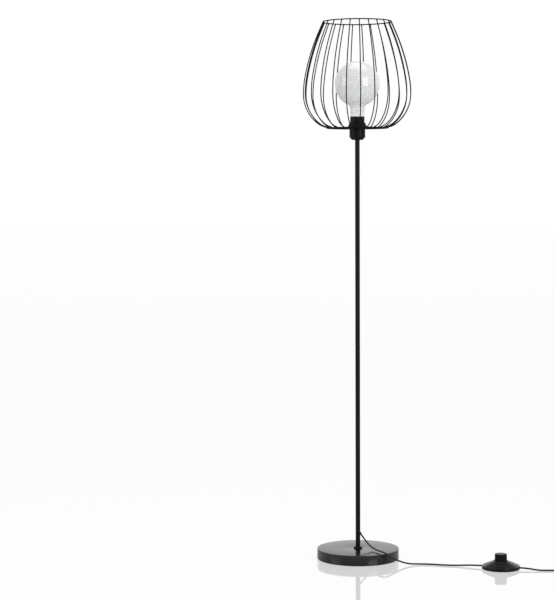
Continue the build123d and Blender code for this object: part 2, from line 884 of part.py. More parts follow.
ridge_start = switch_radius - switch_rim_chamfer
ridge_bottom = switch_rim_height + switch_rim_chamfer
ridge_width = (ridge_start - guide_outer) / switch_ridge_count
ridge_rise = (switch_dome_height - ridge_bottom) / switch_ridge_count
cover_outline = [(switch_guide_radius, switch_foot_height), (switch_radius, switch_foot_height)]
cover_outline += [(switch_radius, switch_rim_height), (ridge_start, ridge_bottom)]
for index in range(switch_ridge_count):
    edge = ridge_start - (index + 1) * ridge_width
    level = ridge_bottom + (index + 1) * ridge_rise
    cover_outline += [(edge, level - switch_ridge_step), (edge, level)]
cover_outline += [(switch_guide_radius, switch_dome_height)]
roof_rise = switch_dome_height - switch_wall - switch_ridge_step

with BuildPart() as switch_cover_bosses:
    with BuildSketch(switch_plane.offset(switch_plate_top)):
        with PolarLocations(cover_screw_circle, 4, start_angle=45):
            Circle(cover_boss_radius)
    extrude(amount=switch_dome_height)
    spin(cover_outline, Mode.INTERSECT, plane=switch_side, axis=switch_axis)

with BuildPart() as switch_cover:
    spin(cover_outline, plane=switch_side, axis=switch_axis)
    spin(
        [
            (0, switch_foot_height),
            (cover_inner, switch_foot_height),
            (cover_inner, switch_rim_height - 0.2),
            (guide_outer, roof_rise),
            (guide_outer, guide_bottom),
            (0, guide_bottom),
        ],
        Mode.SUBTRACT,
        plane=switch_side,
        axis=switch_axis,
    )
    add(switch_cover_bosses.part)
    with BuildSketch(switch_plane.offset(switch_plate_top)):
        with PolarLocations(cover_screw_circle, 4, start_angle=45):
            Circle(small_screw_radius + thread_gap)
    extrude(amount=cover_screw_depth, mode=Mode.SUBTRACT)
    inlet_hole = cord_radius + cord_gap
    slanting(switch_inlet, switch_along, inlet_hole, -1, switch_wall + 1, Mode.SUBTRACT)
    slanting(switch_outlet, switch_along * -1, inlet_hole, -1, switch_wall + 1, Mode.SUBTRACT)
save(switch_cover, "switch_cover")

with BuildPart() as switch_cover_screws:
    with BuildSketch(switch_plane.offset(switch_foot_height)):
        with PolarLocations(cover_screw_circle, 4, start_angle=45):
            Circle(small_head_radius)
    extrude(amount=small_head_height)
    with BuildSketch(switch_plane.offset(switch_foot_height + small_head_height)):
        with PolarLocations(cover_screw_circle, 4, start_angle=45):
            Circle(small_screw_radius)
    extrude(amount=cover_screw_depth)
save(switch_cover_screws, "switch_cover_screws")

with BuildPart() as switch_button:
    button_bottom = button_flange_top - button_flange_thickness
    flange_radius = button_radius + button_flange
    with BuildSketch(switch_side):
        with BuildLine():
            Polyline(
                (0, button_height),
                (button_top_radius, button_height),
                (button_radius, button_flange_top),
                (flange_radius, button_flange_top),
                (flange_radius, button_bottom),
                (button_radius - button_wall, button_bottom),
                (button_top_radius - button_wall, button_ceiling),
                (button_post_radius, button_ceiling),
                (button_post_radius, module_top - bridge_depth),
                (0, module_top - bridge_depth),
                close=True,
            )
        make_face()
    revolve(axis=switch_axis)
    fillet(switch_button.edges().group_by(Axis.Z)[-1], radius=button_edge_radius)
save(switch_button, "switch_button")

with BuildPart() as switch_module:
    with BuildSketch(switch_plane.offset(switch_plate_top)):
        Rectangle(module_length, module_width)
    extrude(amount=module_height)
    with BuildSketch(switch_plane.offset(switch_plate_top + module_wall)):
        Rectangle(module_length - 2 * module_wall, module_width - 3 * module_wall)
    extrude(amount=module_height, mode=Mode.SUBTRACT)
save(switch_module, "switch_module")

bridge_bottom = module_top - bridge_depth - bridge_thickness
with BuildPart() as switch_contact_bridge:
    with BuildSketch(switch_plane.offset(bridge_bottom)):
        Rectangle(bridge_length, bridge_width)
    extrude(amount=bridge_thickness)
save(switch_contact_bridge, "switch_contact_bridge")

fixed_contact_bottom = switch_plate_top + module_wall
with BuildPart() as switch_fixed_contacts:
    with BuildSketch(switch_plane.offset(fixed_contact_bottom)):
        with GridLocations(fixed_contact_spacing, 0, 2, 1):
            Rectangle(fixed_contact_length, bridge_width)
    extrude(amount=bridge_bottom - button_travel - switch_gap - fixed_contact_bottom)
save(switch_fixed_contacts, "switch_fixed_contacts")

spring_length = button_ceiling - module_top - 2 * spring_wire_radius
with BuildPart() as switch_spring:
    spring_start = switch_centre - switch_along * spring_radius
    spring_start += Vector(0, 0, module_top + spring_wire_radius)
    spring_steps = [(spring_radius, spring_length / spring_half_turns)] * spring_half_turns
    arcs, _, _ = half_turn_path(spring_start, heading(switch_turn - 90), spring_steps)
    with BuildLine() as spring_route:
        for points in arcs:
            ThreePointArc(*points)
    with BuildSketch(Plane(origin=spring_start, z_dir=heading(switch_turn - 90))):
        Circle(spring_wire_radius)
    sweep(path=spring_route.wires()[0])
save(switch_spring, "switch_spring")

block_places = [
    (side * block_offset, row * block_spacing / 2) for side in (-1, 1) for row in (-1, 1)
]
with BuildPart() as switch_terminals:
    with BuildSketch(switch_plane.offset(switch_plate_top)):
        with Locations(*block_places):
            Rectangle(block_length, block_width)
    extrude(amount=block_height)
    with BuildSketch(switch_plane.offset(switch_plate_top + block_height / 2)):
        with Locations(*block_places):
            Circle(small_screw_radius)
    extrude(amount=block_height, mode=Mode.SUBTRACT)
save(switch_terminals, "switch_terminals")

with BuildPart() as switch_terminal_screws:
    with BuildSketch(switch_plane.offset(switch_plate_top + block_height / 2 + 0.5)):
        with Locations(*block_places):
            Circle(small_screw_radius - thread_gap)
    extrude(amount=block_height / 2 - 0.5)
    with BuildSketch(switch_plane.offset(switch_plate_top + block_height)):
        with Locations(*block_places):
            Circle(small_head_radius)
    extrude(amount=small_head_height)
save(switch_terminal_screws, "switch_terminal_screws")

clamp_top = switch_cord_height + cord_radius + clamp_cover
clamp_screw_places = [
    (side * clamp_offset, row * clamp_screw_offset) for side in (-1, 1) for row in (-1, 1)
]
with BuildPart() as switch_cord_clamps:
    with BuildSketch(switch_plane.offset(switch_plate_top)):
        with Locations((-clamp_offset, 0), (clamp_offset, 0)):
            Rectangle(clamp_length, clamp_width)
    extrude(amount=clamp_top - switch_plate_top)
    slanting(switch_inlet, switch_along, cord_radius + cord_gap, 0, 2 * switch_radius, Mode.SUBTRACT)
    with BuildSketch(switch_plane.offset(switch_plate_top)):
        with Locations(*clamp_screw_places):
            Circle(small_screw_radius)
    extrude(amount=clamp_top - switch_plate_top, mode=Mode.SUBTRACT)
    with BuildSketch(switch_plane.offset(clamp_top - small_head_height)):
        with Locations(*clamp_screw_places):
            Circle(small_head_radius)
    extrude(amount=small_head_height, mode=Mode.SUBTRACT)
save(switch_cord_clamps, "switch_cord_clamps")

with BuildPart() as switch_clamp_screws:
    with BuildSketch(switch_plane.offset(switch_plate_top)):
        with Locations(*clamp_screw_places):
            Circle(small_screw_radius - thread_gap)
    extrude(amount=clamp_top - switch_plate_top - small_head_height)
    with BuildSketch(switch_plane.offset(clamp_top - small_head_height)):
        with Locations(*clamp_screw_places):
            Circle(small_head_radius - thread_gap)
    extrude(amount=small_head_height)
save(switch_clamp_screws, "switch_clamp_screws")

with BuildPart() as switch_cable_ends:
    stub_length = switch_radius - clamp_offset + clamp_length / 2 + 1
    wire_height = switch_plate_top + lead_radius + 1
    for face, inward in ((switch_inlet, switch_along), (switch_outlet, switch_along * -1)):
        slanting(face, inward, cord_radius, 0, stub_length)
        across = Vector(-inward.Y, inward.X, 0)
        stub_end = face + inward * stub_length
        for row in (-1, 1):
            wire_start = stub_end + across * row * lead_spacing / 2
            block_face = switch_radius - block_offset - block_length / 2
            wire_end = face + inward * block_face + across * row * block_spacing / 2
            wire_end = Vector(wire_end.X, wire_end.Y, wire_height)
            with BuildSketch(Plane(origin=wire_start, z_dir=wire_end - wire_start)) as wire_section:
                Circle(lead_radius * 0.8)
            extrude(wire_section.sketch, amount=(wire_end - wire_start).length - lead_radius)
save(switch_cable_ends, "switch_cable_ends")

# ---------------------------------------------------------------- cord
total_length = cord_tube(cord_to_switch_points, "cord_to_switch")
total_length += cord_tube(cord_after_switch_points, "cord_after_switch")

coil_start = cord_after_switch_points[-1]
radius_step = coil_pitch / 2
inward_radii = [coil_outer_radius - index * radius_step for index in range(coil_inward_half_turns)]
climb_radius = inward_radii[-1] - radius_step
outward_radii = [
    climb_radius + (index + 1) * radius_step for index in range(coil_outward_half_turns)
]
coil_steps = [(radius, 0) for radius in inward_radii]
coil_steps += [(climb_radius, layer_rise)]
coil_steps += [(radius, 0) for radius in outward_radii]
first_turn = coil_start + Vector(coil_lead, 0, 0)
coil_arcs, quarter_start, quarter_heading = half_turn_path(first_turn, Vector(1, 0, 0), coil_steps)
quarter_radius = outward_radii[-1] + radius_step
quarter_side = Vector(-quarter_heading.Y, quarter_heading.X, 0)
quarter_centre = quarter_start + quarter_side * quarter_radius
quarter_end = quarter_centre + quarter_heading * quarter_radius
quarter_middle = quarter_centre + (quarter_heading - quarter_side) * quarter_radius * math.sqrt(0.5)
plug_entry = quarter_end + quarter_side * coil_tail

with BuildPart() as cord_coil:
    with BuildLine() as coil_route:
        Line(coil_start, first_turn)
        for points in coil_arcs:
            ThreePointArc(*points)
        ThreePointArc(quarter_start, quarter_middle, quarter_end)
        Line(quarter_end, plug_entry)
    with BuildSketch(Plane(origin=coil_start, z_dir=(1, 0, 0))):
        Circle(cord_radius)
    sweep(path=coil_route.wires()[0])
save(cord_coil, "cord_coil")

coil_wire = coil_route.wires()[0]
total_length += coil_wire.length
coil_spacing = 1.5
coil_gap = least_self_gap(samples_of(coil_wire, coil_spacing), coil_spacing)
coil_share = cord_coil.part.volume / (math.pi * cord_radius**2 * coil_wire.length)
print("cord_coil length", round(coil_wire.length, 1), "volume share", round(coil_share, 4))
print("  least gap to itself", round(coil_gap, 3), "turns", len(coil_steps) / 2 + 0.25)
print("free cord in all", round(total_length, 1))

# ---------------------------------------------------------------- plug
plug_along = quarter_side
plug_across = quarter_heading
relief_plane = Plane(origin=plug_entry, x_dir=plug_along, z_dir=(0, 0, 1))

with BuildPart() as plug_strain_relief:
    relief_outline = [(0, 0), (0, relief_tip_radius)]
    groove_space = relief_length / (relief_groove_count + 1)
    taper = (relief_radius - relief_tip_radius) / relief_length
    for index in range(1, relief_groove_count + 1):
        groove_start = index * groove_space - relief_groove_width / 2
        groove_end = index * groove_space + relief_groove_width / 2
        edge_before = relief_tip_radius + taper * groove_start
        edge_after = relief_tip_radius + taper * groove_end
        relief_outline += [
            (groove_start, edge_before),
            (groove_start, edge_before - 0.6),
            (groove_end, edge_before - 0.6),
            (groove_end, edge_after),
        ]
    relief_outline += [(relief_length, relief_radius), (relief_length, 0)]
    spin(relief_outline, plane=relief_plane, axis=Axis(plug_entry, plug_along))
save(plug_strain_relief, "plug_strain_relief")

plug_rear = plug_entry + plug_along * relief_length
plug_front = plug_rear + plug_along * plug_length
pin_places = [plug_front + plug_across * side * pin_spacing / 2 for side in (-1, 1)]

with BuildPart() as plug_body:
    for distance, width, thickness, corner in (
        (0, plug_rear_width, plug_rear_thickness, plug_corner),
        (plug_length * 0.45, plug_width * 0.82, plug_thickness, plug_corner),
        (plug_length, plug_width, plug_thickness, plug_corner),
    ):
        station = Plane(origin=plug_rear + plug_along * distance, x_dir=plug_across, z_dir=plug_along)
        with BuildSketch(station):
            RectangleRounded(width, thickness, corner)
    loft(ruled=True)
    for place in pin_places:
        slanting(place, plug_along, pin_root_radius + cord_gap, -pin_root, 0, Mode.SUBTRACT)
save(plug_body, "plug_body")

with BuildPart() as plug_pins:
    for place in pin_places:
        slanting(place, plug_along, pin_root_radius, -pin_root, pin_neck)
        slanting(place, plug_along, pin_radius, pin_neck, pin_length)
    tips = plug_pins.edges().filter_by(GeomType.CIRCLE).group_by(Axis(plug_front, plug_along))[-1]
    fillet(tips, radius=pin_tip_radius)
save(plug_pins, "plug_pins")

print("plug front", plug_front, "pin places", pin_places)
print("switch inlet", switch_inlet, "outlet", switch_outlet, "exit face", exit_face, exit_along)
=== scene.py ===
import json
import math

import bmesh
import bpy
from mathutils import Matrix, Vector


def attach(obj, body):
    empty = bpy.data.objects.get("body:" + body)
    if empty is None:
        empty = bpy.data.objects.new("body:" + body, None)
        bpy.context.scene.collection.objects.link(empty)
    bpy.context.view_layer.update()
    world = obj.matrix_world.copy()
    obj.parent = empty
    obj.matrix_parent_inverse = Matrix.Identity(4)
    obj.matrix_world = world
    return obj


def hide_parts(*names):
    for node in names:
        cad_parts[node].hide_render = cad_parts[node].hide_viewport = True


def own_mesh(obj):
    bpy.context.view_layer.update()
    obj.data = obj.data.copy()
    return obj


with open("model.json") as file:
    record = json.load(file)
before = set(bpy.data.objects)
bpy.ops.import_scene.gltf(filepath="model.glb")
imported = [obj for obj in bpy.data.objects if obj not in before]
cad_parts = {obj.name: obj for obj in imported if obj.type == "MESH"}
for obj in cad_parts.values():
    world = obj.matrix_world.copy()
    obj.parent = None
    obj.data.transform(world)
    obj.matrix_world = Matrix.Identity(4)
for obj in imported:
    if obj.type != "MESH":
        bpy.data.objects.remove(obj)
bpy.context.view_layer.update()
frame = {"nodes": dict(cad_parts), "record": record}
nodes = frame["nodes"]
MM = 0.001

# ---------------------------------------------------------------- sizes, in millimetres
BASE_RADIUS, BASE_HEIGHT = 114.0, 29.0
POLE_RADIUS, POLE_BORE = 6.5, 5.05
SECTION = 379.5
POLE_TOP = BASE_HEIGHT + 3 * SECTION
CAP_TOP = POLE_TOP + 32.0
SLEEVE_BOTTOM, SLEEVE_TOP = POLE_TOP + 27.0, POLE_TOP + 63.5
RING_HEIGHT = CAP_TOP + 0.75
CAGE_HEIGHT = 291.4
BULB_SEAT = SLEEVE_TOP + 0.3
GLOBE_CENTRE, GLOBE_RADIUS = BULB_SEAT + 90.2, 62.5
CORD = 4.6
FLOOR_LINE = CORD / 2 + 0.1
EXIT = Vector((7.578, -4.375, 69.819))
EXIT_ALONG = Vector((0.55667, -0.321394, -0.766044))
SWITCH_CENTRE = Vector((388.0, -134.0, 0.0))
SWITCH_TURN = math.radians(-15.0)
SWITCH_ALONG = Vector((math.cos(SWITCH_TURN), math.sin(SWITCH_TURN), 0.0))
SWITCH_RADIUS, SWITCH_CORD = 51.5, 5.8
INLET = SWITCH_CENTRE - SWITCH_ALONG * SWITCH_RADIUS + Vector((0, 0, SWITCH_CORD))
OUTLET = SWITCH_CENTRE + SWITCH_ALONG * SWITCH_RADIUS + Vector((0, 0, SWITCH_CORD))

# ---------------------------------------------------------------- camera
FRAME_WIDTH, FRAME_HEIGHT = 554, 600
FOCAL = 1822.0
LAMP_COLUMN = 357.75
CAMERA_PITCH, CAMERA_ROLL = math.radians(3.62), math.radians(0.25)
CAMERA_AT = Vector((0.0, -5.055, 1.045))


def make_camera():
    """The photograph's view, looking down a little, with the lamp right of the middle."""
    yaw = math.atan((LAMP_COLUMN - FRAME_WIDTH / 2) / FOCAL)
    data = bpy.data.cameras.new("camera")
    data.sensor_fit = "VERTICAL"
    data.sensor_height = 36.0
    data.lens = FOCAL * data.sensor_height / FRAME_HEIGHT
    data.clip_end = 200.0
    camera = bpy.data.objects.new("camera", data)
    turn = Matrix.Rotation(yaw, 4, "Z") @ Matrix.Rotation(math.pi / 2 - CAMERA_PITCH, 4, "X")
    camera.matrix_world = Matrix.Translation(CAMERA_AT) @ turn @ Matrix.Rotation(-CAMERA_ROLL, 4, "Z")
    bpy.context.scene.collection.objects.link(camera)
    bpy.context.scene.camera = camera


make_camera()


# ---------------------------------------------------------------- materials
def grey(value):
    return (value, value, value, 1.0)


class Surface:
    """A Principled material whose details come from noise in the object's own coordinates."""

    def __init__(self, name, colour, roughness, **sockets):
        self.material = bpy.data.materials.new(name)
        self.material.use_nodes = True
        self.tree = self.material.node_tree
        self.shader = self.tree.nodes["Principled BSDF"]
        self.colour, self.roughness = colour, roughness
        self.shader.inputs["Base Color"].default_value = colour
        self.shader.inputs["Roughness"].default_value = roughness
        for socket, value in sockets.items():
            self.shader.inputs[socket.replace("_", " ")].default_value = value
        self.place = self.tree.nodes.new("ShaderNodeTexCoord").outputs["Object"]
        self.height = None

    def node(self, kind, **settings):
        made = self.tree.nodes.new(kind)
        for key, value in settings.items():
            if key in made.inputs:
                made.inputs[key].default_value = value
            else:
                setattr(made, key, value)
        return made

    def link(self, source, target):
        self.tree.links.new(source, target)

    def stretched(self, scale):
        mapping = self.node("ShaderNodeMapping", Scale=scale)
        self.link(self.place, mapping.inputs["Vector"])
        return mapping.outputs["Vector"]

    def noise(self, scale, detail=3.0, stretch=None):
        made = self.node("ShaderNodeTexNoise", Scale=scale, Detail=detail)
        self.link(self.stretched(stretch) if stretch else self.place, made.inputs["Vector"])
        return made.outputs["Fac"]

    def spread(self, source, low, high, start=0.3, end=0.7):
        made = self.node("ShaderNodeMapRange")
        for socket, value in zip(("From Min", "From Max", "To Min", "To Max"), (start, end, low, high)):
            made.inputs[socket].default_value = value
        self.link(source, made.inputs["Value"])
        return made.outputs["Result"]

    def vary_roughness(self, scale, amount, stretch=None):
        source = self.noise(scale, 4.0, stretch)
        low, high = self.roughness - amount, self.roughness + amount
        self.link(self.spread(source, low, high), self.shader.inputs["Roughness"])
        return self

    def vary_colour(self, scale, other, stretch=None, start=0.35, end=0.65):
        mix = self.node("ShaderNodeMix", data_type="RGBA")
        mix.inputs[6].default_value = self.colour
        mix.inputs[7].default_value = other
        self.link(self.spread(self.noise(scale, 4.0, stretch), 0.0, 1.0, start, end), mix.inputs[0])
        self.link(mix.outputs[2], self.shader.inputs["Base Color"])
        return self

    def bump(self, scale, distance, strength=1.0, detail=2.0, stretch=None):
        made = self.node("ShaderNodeBump", Strength=strength, Distance=distance)
        self.link(self.noise(scale, detail, stretch), made.inputs["Height"])
        if self.height:
            self.link(self.height, made.inputs["Normal"])
        self.height = made.outputs["Normal"]
        self.link(self.height, self.shader.inputs["Normal"])
        return self


def powder_coat(name, roughness, distance, specular=0.12):
    made = Surface(name, grey(0.0045), roughness, Specular_IOR_Level=specular)
    made.vary_roughness(40.0, 0.035)
    made.vary_colour(900.0, grey(0.007))
    return made.bump(1500.0, distance, 0.35, 3.0).bump(60.0, distance * 2, 0.2)


def moulded(name, colour, roughness, other=None, specular=0.3, grain=2200.0, distance=0.00002):
    made = Surface(name, colour, roughness, Specular_IOR_Level=specular)
    made.vary_roughness(90.0, 0.04)
    if other:
        made.vary_colour(300.0, other)
    return made.bump(grain, distance, 0.4)


def worked_metal(name, colour, roughness, stretch=(1.0, 1.0, 0.05), grain=2500.0):
    made = Surface(name, colour, roughness, Metallic=1.0)
    made.vary_roughness(grain, 0.08, stretch)
    made.vary_colour(120.0, tuple(0.82 * c for c in colour[:3]) + (1.0,))
    return made.bump(grain, 0.00001, 0.4, 2.0, stretch)


coat = powder_coat("black_powder_coat", 0.48, 0.00003)
base_coat = powder_coat("base_powder_coat", 0.18, 0.00001, 0.46)
wire_coat = powder_coat("wire_powder_coat", 0.50, 0.00002, 0.05)
holder_plastic = moulded("holder_plastic", grey(0.004), 0.28, grey(0.006), 0.08)
switch_plastic = moulded("switch_plastic", grey(0.004), 0.22, grey(0.006), 0.08)
dull_plastic = moulded("dull_plastic", grey(0.012), 0.42, grey(0.016), 0.26)
cord_jacket = moulded("cord_jacket", grey(0.010), 0.40, grey(0.014), 0.24, 1400.0, 0.00003)
foam_pad = moulded("foam_pad", grey(0.02), 0.85, grey(0.035), 0.2, 900.0, 0.00012)
cream_plastic = moulded("cream_plastic", (0.62, 0.58, 0.49, 1), 0.4, (0.56, 0.52, 0.43, 1), 0.4)
wire_plastic = moulded("wire_plastic", (0.02, 0.07, 0.30, 1), 0.35, (0.03, 0.09, 0.34, 1), 0.4)
white_plastic = moulded("white_plastic", grey(0.80), 0.28, (0.77, 0.77, 0.76, 1), 0.45)
black_glaze = moulded("black_glaze", grey(0.012), 0.12, None, 0.5)
phosphor = moulded("phosphor", (0.72, 0.55, 0.10, 1), 0.35, (0.80, 0.64, 0.16, 1), 0.4)
board_white = moulded("board_white", grey(0.74), 0.45, grey(0.68), 0.4)
board_green = moulded("board_green", (0.02, 0.13, 0.04, 1), 0.35, (0.03, 0.18, 0.06, 1), 0.5)
zinc = worked_metal("zinc_steel", (0.58, 0.58, 0.57, 1), 0.34)
bright_steel = worked_metal("bright_steel", (0.62, 0.62, 0.61, 1), 0.24)
nickel = worked_metal("nickel_sheet", (0.66, 0.63, 0.58, 1), 0.20, (0.05, 0.05, 1.0))
brass = worked_metal("brass_strip", (0.72, 0.52, 0.22, 1), 0.26)
cement = Surface("cement", (0.40, 0.39, 0.36, 1), 0.92, Specular_IOR_Level=0.2)
cement.vary_colour(60.0, (0.30, 0.29, 0.27, 1)).bump(420.0, 0.0006, 0.8, 6.0)
opal = Surface("opal_glass", (0.73, 0.74, 0.75, 1), 0.10, Specular_IOR_Level=0.5, Coat_Weight=0.35)
opal.shader.inputs["Coat Roughness"].default_value = 0.03
opal.vary_colour(18.0, (0.715, 0.725, 0.735, 1)).bump(45.0, 0.00006, 0.25)

SLOT_SURFACES = {
    "black_powder_coat": coat,
    "black_plastic": dull_plastic,
    "black_gloss_plastic": switch_plastic,
    "cord_black": cord_jacket,
    "black_pad": foam_pad,
    "cement": cement,
    "zinc_steel": zinc,
    "raw_brass": brass,
    "nickel_shell": nickel,
    "opal": opal,
    "white_plastic": white_plastic,
    "cap_insulator": black_glaze,
    "light_insulator": cream_plastic,
    "board": board_white,
    "led_phosphor": phosphor,
    "driver": board_green,
    "wire_jacket": wire_plastic,
    "spring_steel": bright_steel,
}


def dress_nodes():
    """Every CAD node gets its slot's material, also where a finer piece replaces it later."""
    slot_of = {part["node"]: part["material_slot"] for part in frame["record"]["subparts"]}
    for name, node in nodes.items():
        surface = SLOT_SURFACES[slot_of[name]].material
        if not node.material_slots:
            node.data.materials.append(surface)
        for place in node.material_slots:
            place.material = surface


dress_nodes()


# ---------------------------------------------------------------- mesh helpers
def piece(name, verts, faces, surface, slot, body="lamp", stands_for=(), sharp=32.0):
    """Closed mesh in millimetres, with outward normals and crisp edges over the sharp angle."""
    mesh = bpy.data.meshes.new(name)
    mesh.from_pydata([Vector(v) * MM for v in verts], [], faces)
    work = bmesh.new()
    work.from_mesh(mesh)
    bmesh.ops.remove_doubles(work, verts=work.verts, dist=1e-7)
    bmesh.ops.recalc_face_normals(work, faces=work.faces)
    work.to_mesh(mesh)
    work.free()
    mesh.polygons.foreach_set("use_smooth", [True] * len(mesh.polygons))
    mesh.set_sharp_from_angle(angle=math.radians(sharp))
    mesh.materials.append(surface.material)
    made = bpy.data.objects.new(name, mesh)
    bpy.context.scene.collection.objects.link(made)
    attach(made, body)
    if stands_for:
        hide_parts(*stands_for)
    return made


def rounded(points, radius, steps=4):
    """A profile with its corners rounded, as far as the edges beside them allow."""
    count = len(points)
    made = []
    for index, (x, y) in enumerate(points):
        corner = Vector((x, y))
        before = Vector(points[index - 1]) - corner
        after = Vector(points[(index + 1) % count]) - corner
        if corner.x < 1e-6 or before.length < 1e-6 or after.length < 1e-6:
            made.append((x, y))
            continue
        half = before.angle(after) / 2
        reach = min(radius / math.tan(half), 0.45 * before.length, 0.45 * after.length)
        if half > math.radians(88) or reach < 1e-4:
            made.append((x, y))
            continue
        start, end = corner + before.normalized() * reach, corner + after.normalized() * reach
        for step in range(steps + 1):
            share = step / steps
            first, second = start.lerp(corner, share), corner.lerp(end, share)
            made.append(tuple(first.lerp(second, share)))
    return made


def revolved(profile, columns, place=None, shape=None):
    """Vertices and faces of a profile turned about +Z. shape(angle, r, z) may alter it."""
    verts, faces = [], []
    rows = len(profile)
    for column in range(columns):
        angle = 2 * math.pi * column / columns
        for r, z in profile:
            if shape:
                r, z = shape(angle, r, z)
            point = Vector((r * math.cos(angle), r * math.sin(angle), z))
            verts.append(place @ point if place else point)
    for column in range(columns):
        near, far = column * rows, (column + 1) % columns * rows
        for row in range(rows):
            after = (row + 1) % rows
            faces.append((near + row, far + row, far + after, near + after))
    return verts, faces


def turned(name, profile, surface, slot, stands_for=(), body="lamp", columns=144, radius=0.3, **more):
    """A lathe-turned piece with softened corners."""
    shape, place = more.pop("shape", None), more.pop("place", None)
    outline = rounded(profile, radius) if radius else profile
    verts, faces = revolved(outline, columns, place, shape)
    return piece(name, verts, faces, surface, slot, body, stands_for, **more)


def swept(path, radii, sides=14):
    """Tube along a path, with a radius at every point and closed ends."""
    verts, faces = [], []
    tangent = (path[1] - path[0]).normalized()
    across = tangent.orthogonal().normalized()
    for index, point in enumerate(path):
        before, after = path[max(index - 1, 0)], path[min(index + 1, len(path) - 1)]
        ahead = (after - before).normalized()
        across = (across - ahead * across.dot(ahead)).normalized()
        other = ahead.cross(across)
        for side in range(sides):
            turn = 2 * math.pi * side / sides
            verts.append(point + (across * math.cos(turn) + other * math.sin(turn)) * radii[index])
    for index in range(len(path) - 1):
        for side in range(sides):
            after = (side + 1) % sides
            low, high = index * sides, (index + 1) * sides
            faces.append((low + side, low + after, high + after, high + side))
    faces.append(tuple(range(sides)))
    faces.append(tuple(range(len(verts) - sides, len(verts))))
    return verts, faces


def joined(parts):
    """Several vertex and face lists as one."""
    verts, faces = [], []
    for more_verts, more_faces in parts:
        offset = len(verts)
        verts += more_verts
        faces += [tuple(index + offset for index in face) for face in more_faces]
    return verts, faces


def ring(radius, wire, height, columns=240, sides=16):
    circle = [
        (
            radius + wire * math.cos(2 * math.pi * side / sides),
            height + wire * math.sin(2 * math.pi * side / sides),
        )
        for side in range(sides)
    ]
    return revolved(circle, columns)


def cut(target, cutter):
    """Cuts one mesh out of another and removes the cutter."""
    modifier = target.modifiers.new("cut", "BOOLEAN")
    modifier.operation = "DIFFERENCE"
    modifier.solver = "EXACT"
    modifier.object = cutter
    bpy.context.view_layer.update()
    graph = bpy.context.evaluated_depsgraph_get()
    mesh = bpy.data.meshes.new_from_object(target.evaluated_get(graph))
    target.modifiers.remove(modifier)
    target.data = mesh
    bpy.data.objects.remove(cutter)


def rod(name, start, end, radius, sides=32):
    """Plain cutter between two points."""
    verts, faces = swept([start, end], [radius, radius], sides)
    mesh = bpy.data.meshes.new(name)
    mesh.from_pydata([Vector(v) * MM for v in verts], [], faces)
    made = bpy.data.objects.new(name, mesh)
    bpy.context.scene.collection.objects.link(made)
    work = bmesh.new()
    work.from_mesh(mesh)
    bmesh.ops.recalc_face_normals(work, faces=work.faces)
    work.to_mesh(mesh)
    work.free()
    return made


# ---------------------------------------------------------------- cord
def cord_curve(name, points):
    """Smooth cord with the route's points as its control points."""
    curve = bpy.data.curves.new(name, "CURVE")
    curve.dimensions = "3D"
    curve.bevel_depth = CORD / 2 * MM
    curve.bevel_resolution = 5
    curve.resolution_u = 10
    curve.use_fill_caps = True
    spline = curve.splines.new("NURBS")
    spline.points.add(len(points) - 1)
    for target, point in zip(spline.points, points):
        target.co = (*(Vector(point) * MM), 1.0)
    spline.order_u = 3
    spline.use_endpoint_u = True
    curve.materials.append(cord_jacket.material)
    made = bpy.data.objects.new(name, curve)
    bpy.context.scene.collection.objects.link(made)
    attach(made, "lamp")
    return made


FIRST_STRETCH = [
    EXIT,
    EXIT + EXIT_ALONG * 24,
    (36, -27, 37.5),
    (49, -50, 34.2),
    (60, -75, 35.4),
    (74, -96, 34.6),
    (92, -105, 24.5),
    (114, -103, 12.5),
    (140, -96, 4.2),
    (168, -87, FLOOR_LINE),
    (202, -90, FLOOR_LINE),
    (238, -101, FLOOR_LINE),
    (274, -104, FLOOR_LINE + 0.2),
    INLET - SWITCH_ALONG * 24,
    INLET,
]
SECOND_STRETCH = [
    OUTLET,
    OUTLET + SWITCH_ALONG * 20,
    (486, -163, FLOOR_LINE + 0.2),
    (517, -163.5, FLOOR_LINE),
    (549, -159, FLOOR_LINE),
    (578, -159, FLOOR_LINE),
]
COIL_START = Vector((590.0, -159.0, FLOOR_LINE))
COIL_OUTER, COIL_STEP, LAYER_RISE = 35.0, 2.6, CORD + 0.45
INWARD, OUTWARD = 7, 6
POINTS_A_HALF_TURN = 8
COIL_TAIL = 15.0


def coil_points():
    """Corners round each half turn, so that the line touches the turn between them."""
    points = []
    at, heading = COIL_START.copy(), Vector((1.0, 0.0, 0.0))
    radii = [COIL_OUTER - index * COIL_STEP for index in range(INWARD + 1)]
    radii += [radii[-1] + (index + 1) * COIL_STEP for index in range(OUTWARD + 1)]
    for turn, radius in enumerate(radii):
        left = Vector((-heading.y, heading.x, 0.0))
        centre = at + left * radius
        rise = LAYER_RISE if turn == INWARD else 0.0
        steps = POINTS_A_HALF_TURN if turn < len(radii) - 1 else POINTS_A_HALF_TURN // 2
        reach = radius / math.cos(math.pi / POINTS_A_HALF_TURN / 2)
        for step in range(steps):
            share = (step + 0.5) / POINTS_A_HALF_TURN
            angle = math.pi * share
            out = heading * math.sin(angle) - left * math.cos(angle)
            points.append(centre + out * reach + Vector((0, 0, rise * share)))
        if turn == len(radii) - 1:
            break
        at = centre + left * radius + Vector((0, 0, rise))
        heading = -heading
    return points, centre + heading * radius, left


turns, quarter_end, plug_along = coil_points()
plug_entry = quarter_end + plug_along * COIL_TAIL
first_cord = cord_curve("flex_to_switch", FIRST_STRETCH)
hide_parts("cord_to_switch")
second_cord = cord_curve("flex_to_plug", SECOND_STRETCH + [COIL_START] + turns + [quarter_end, plug_entry])
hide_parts("cord_after_switch", "cord_coil")


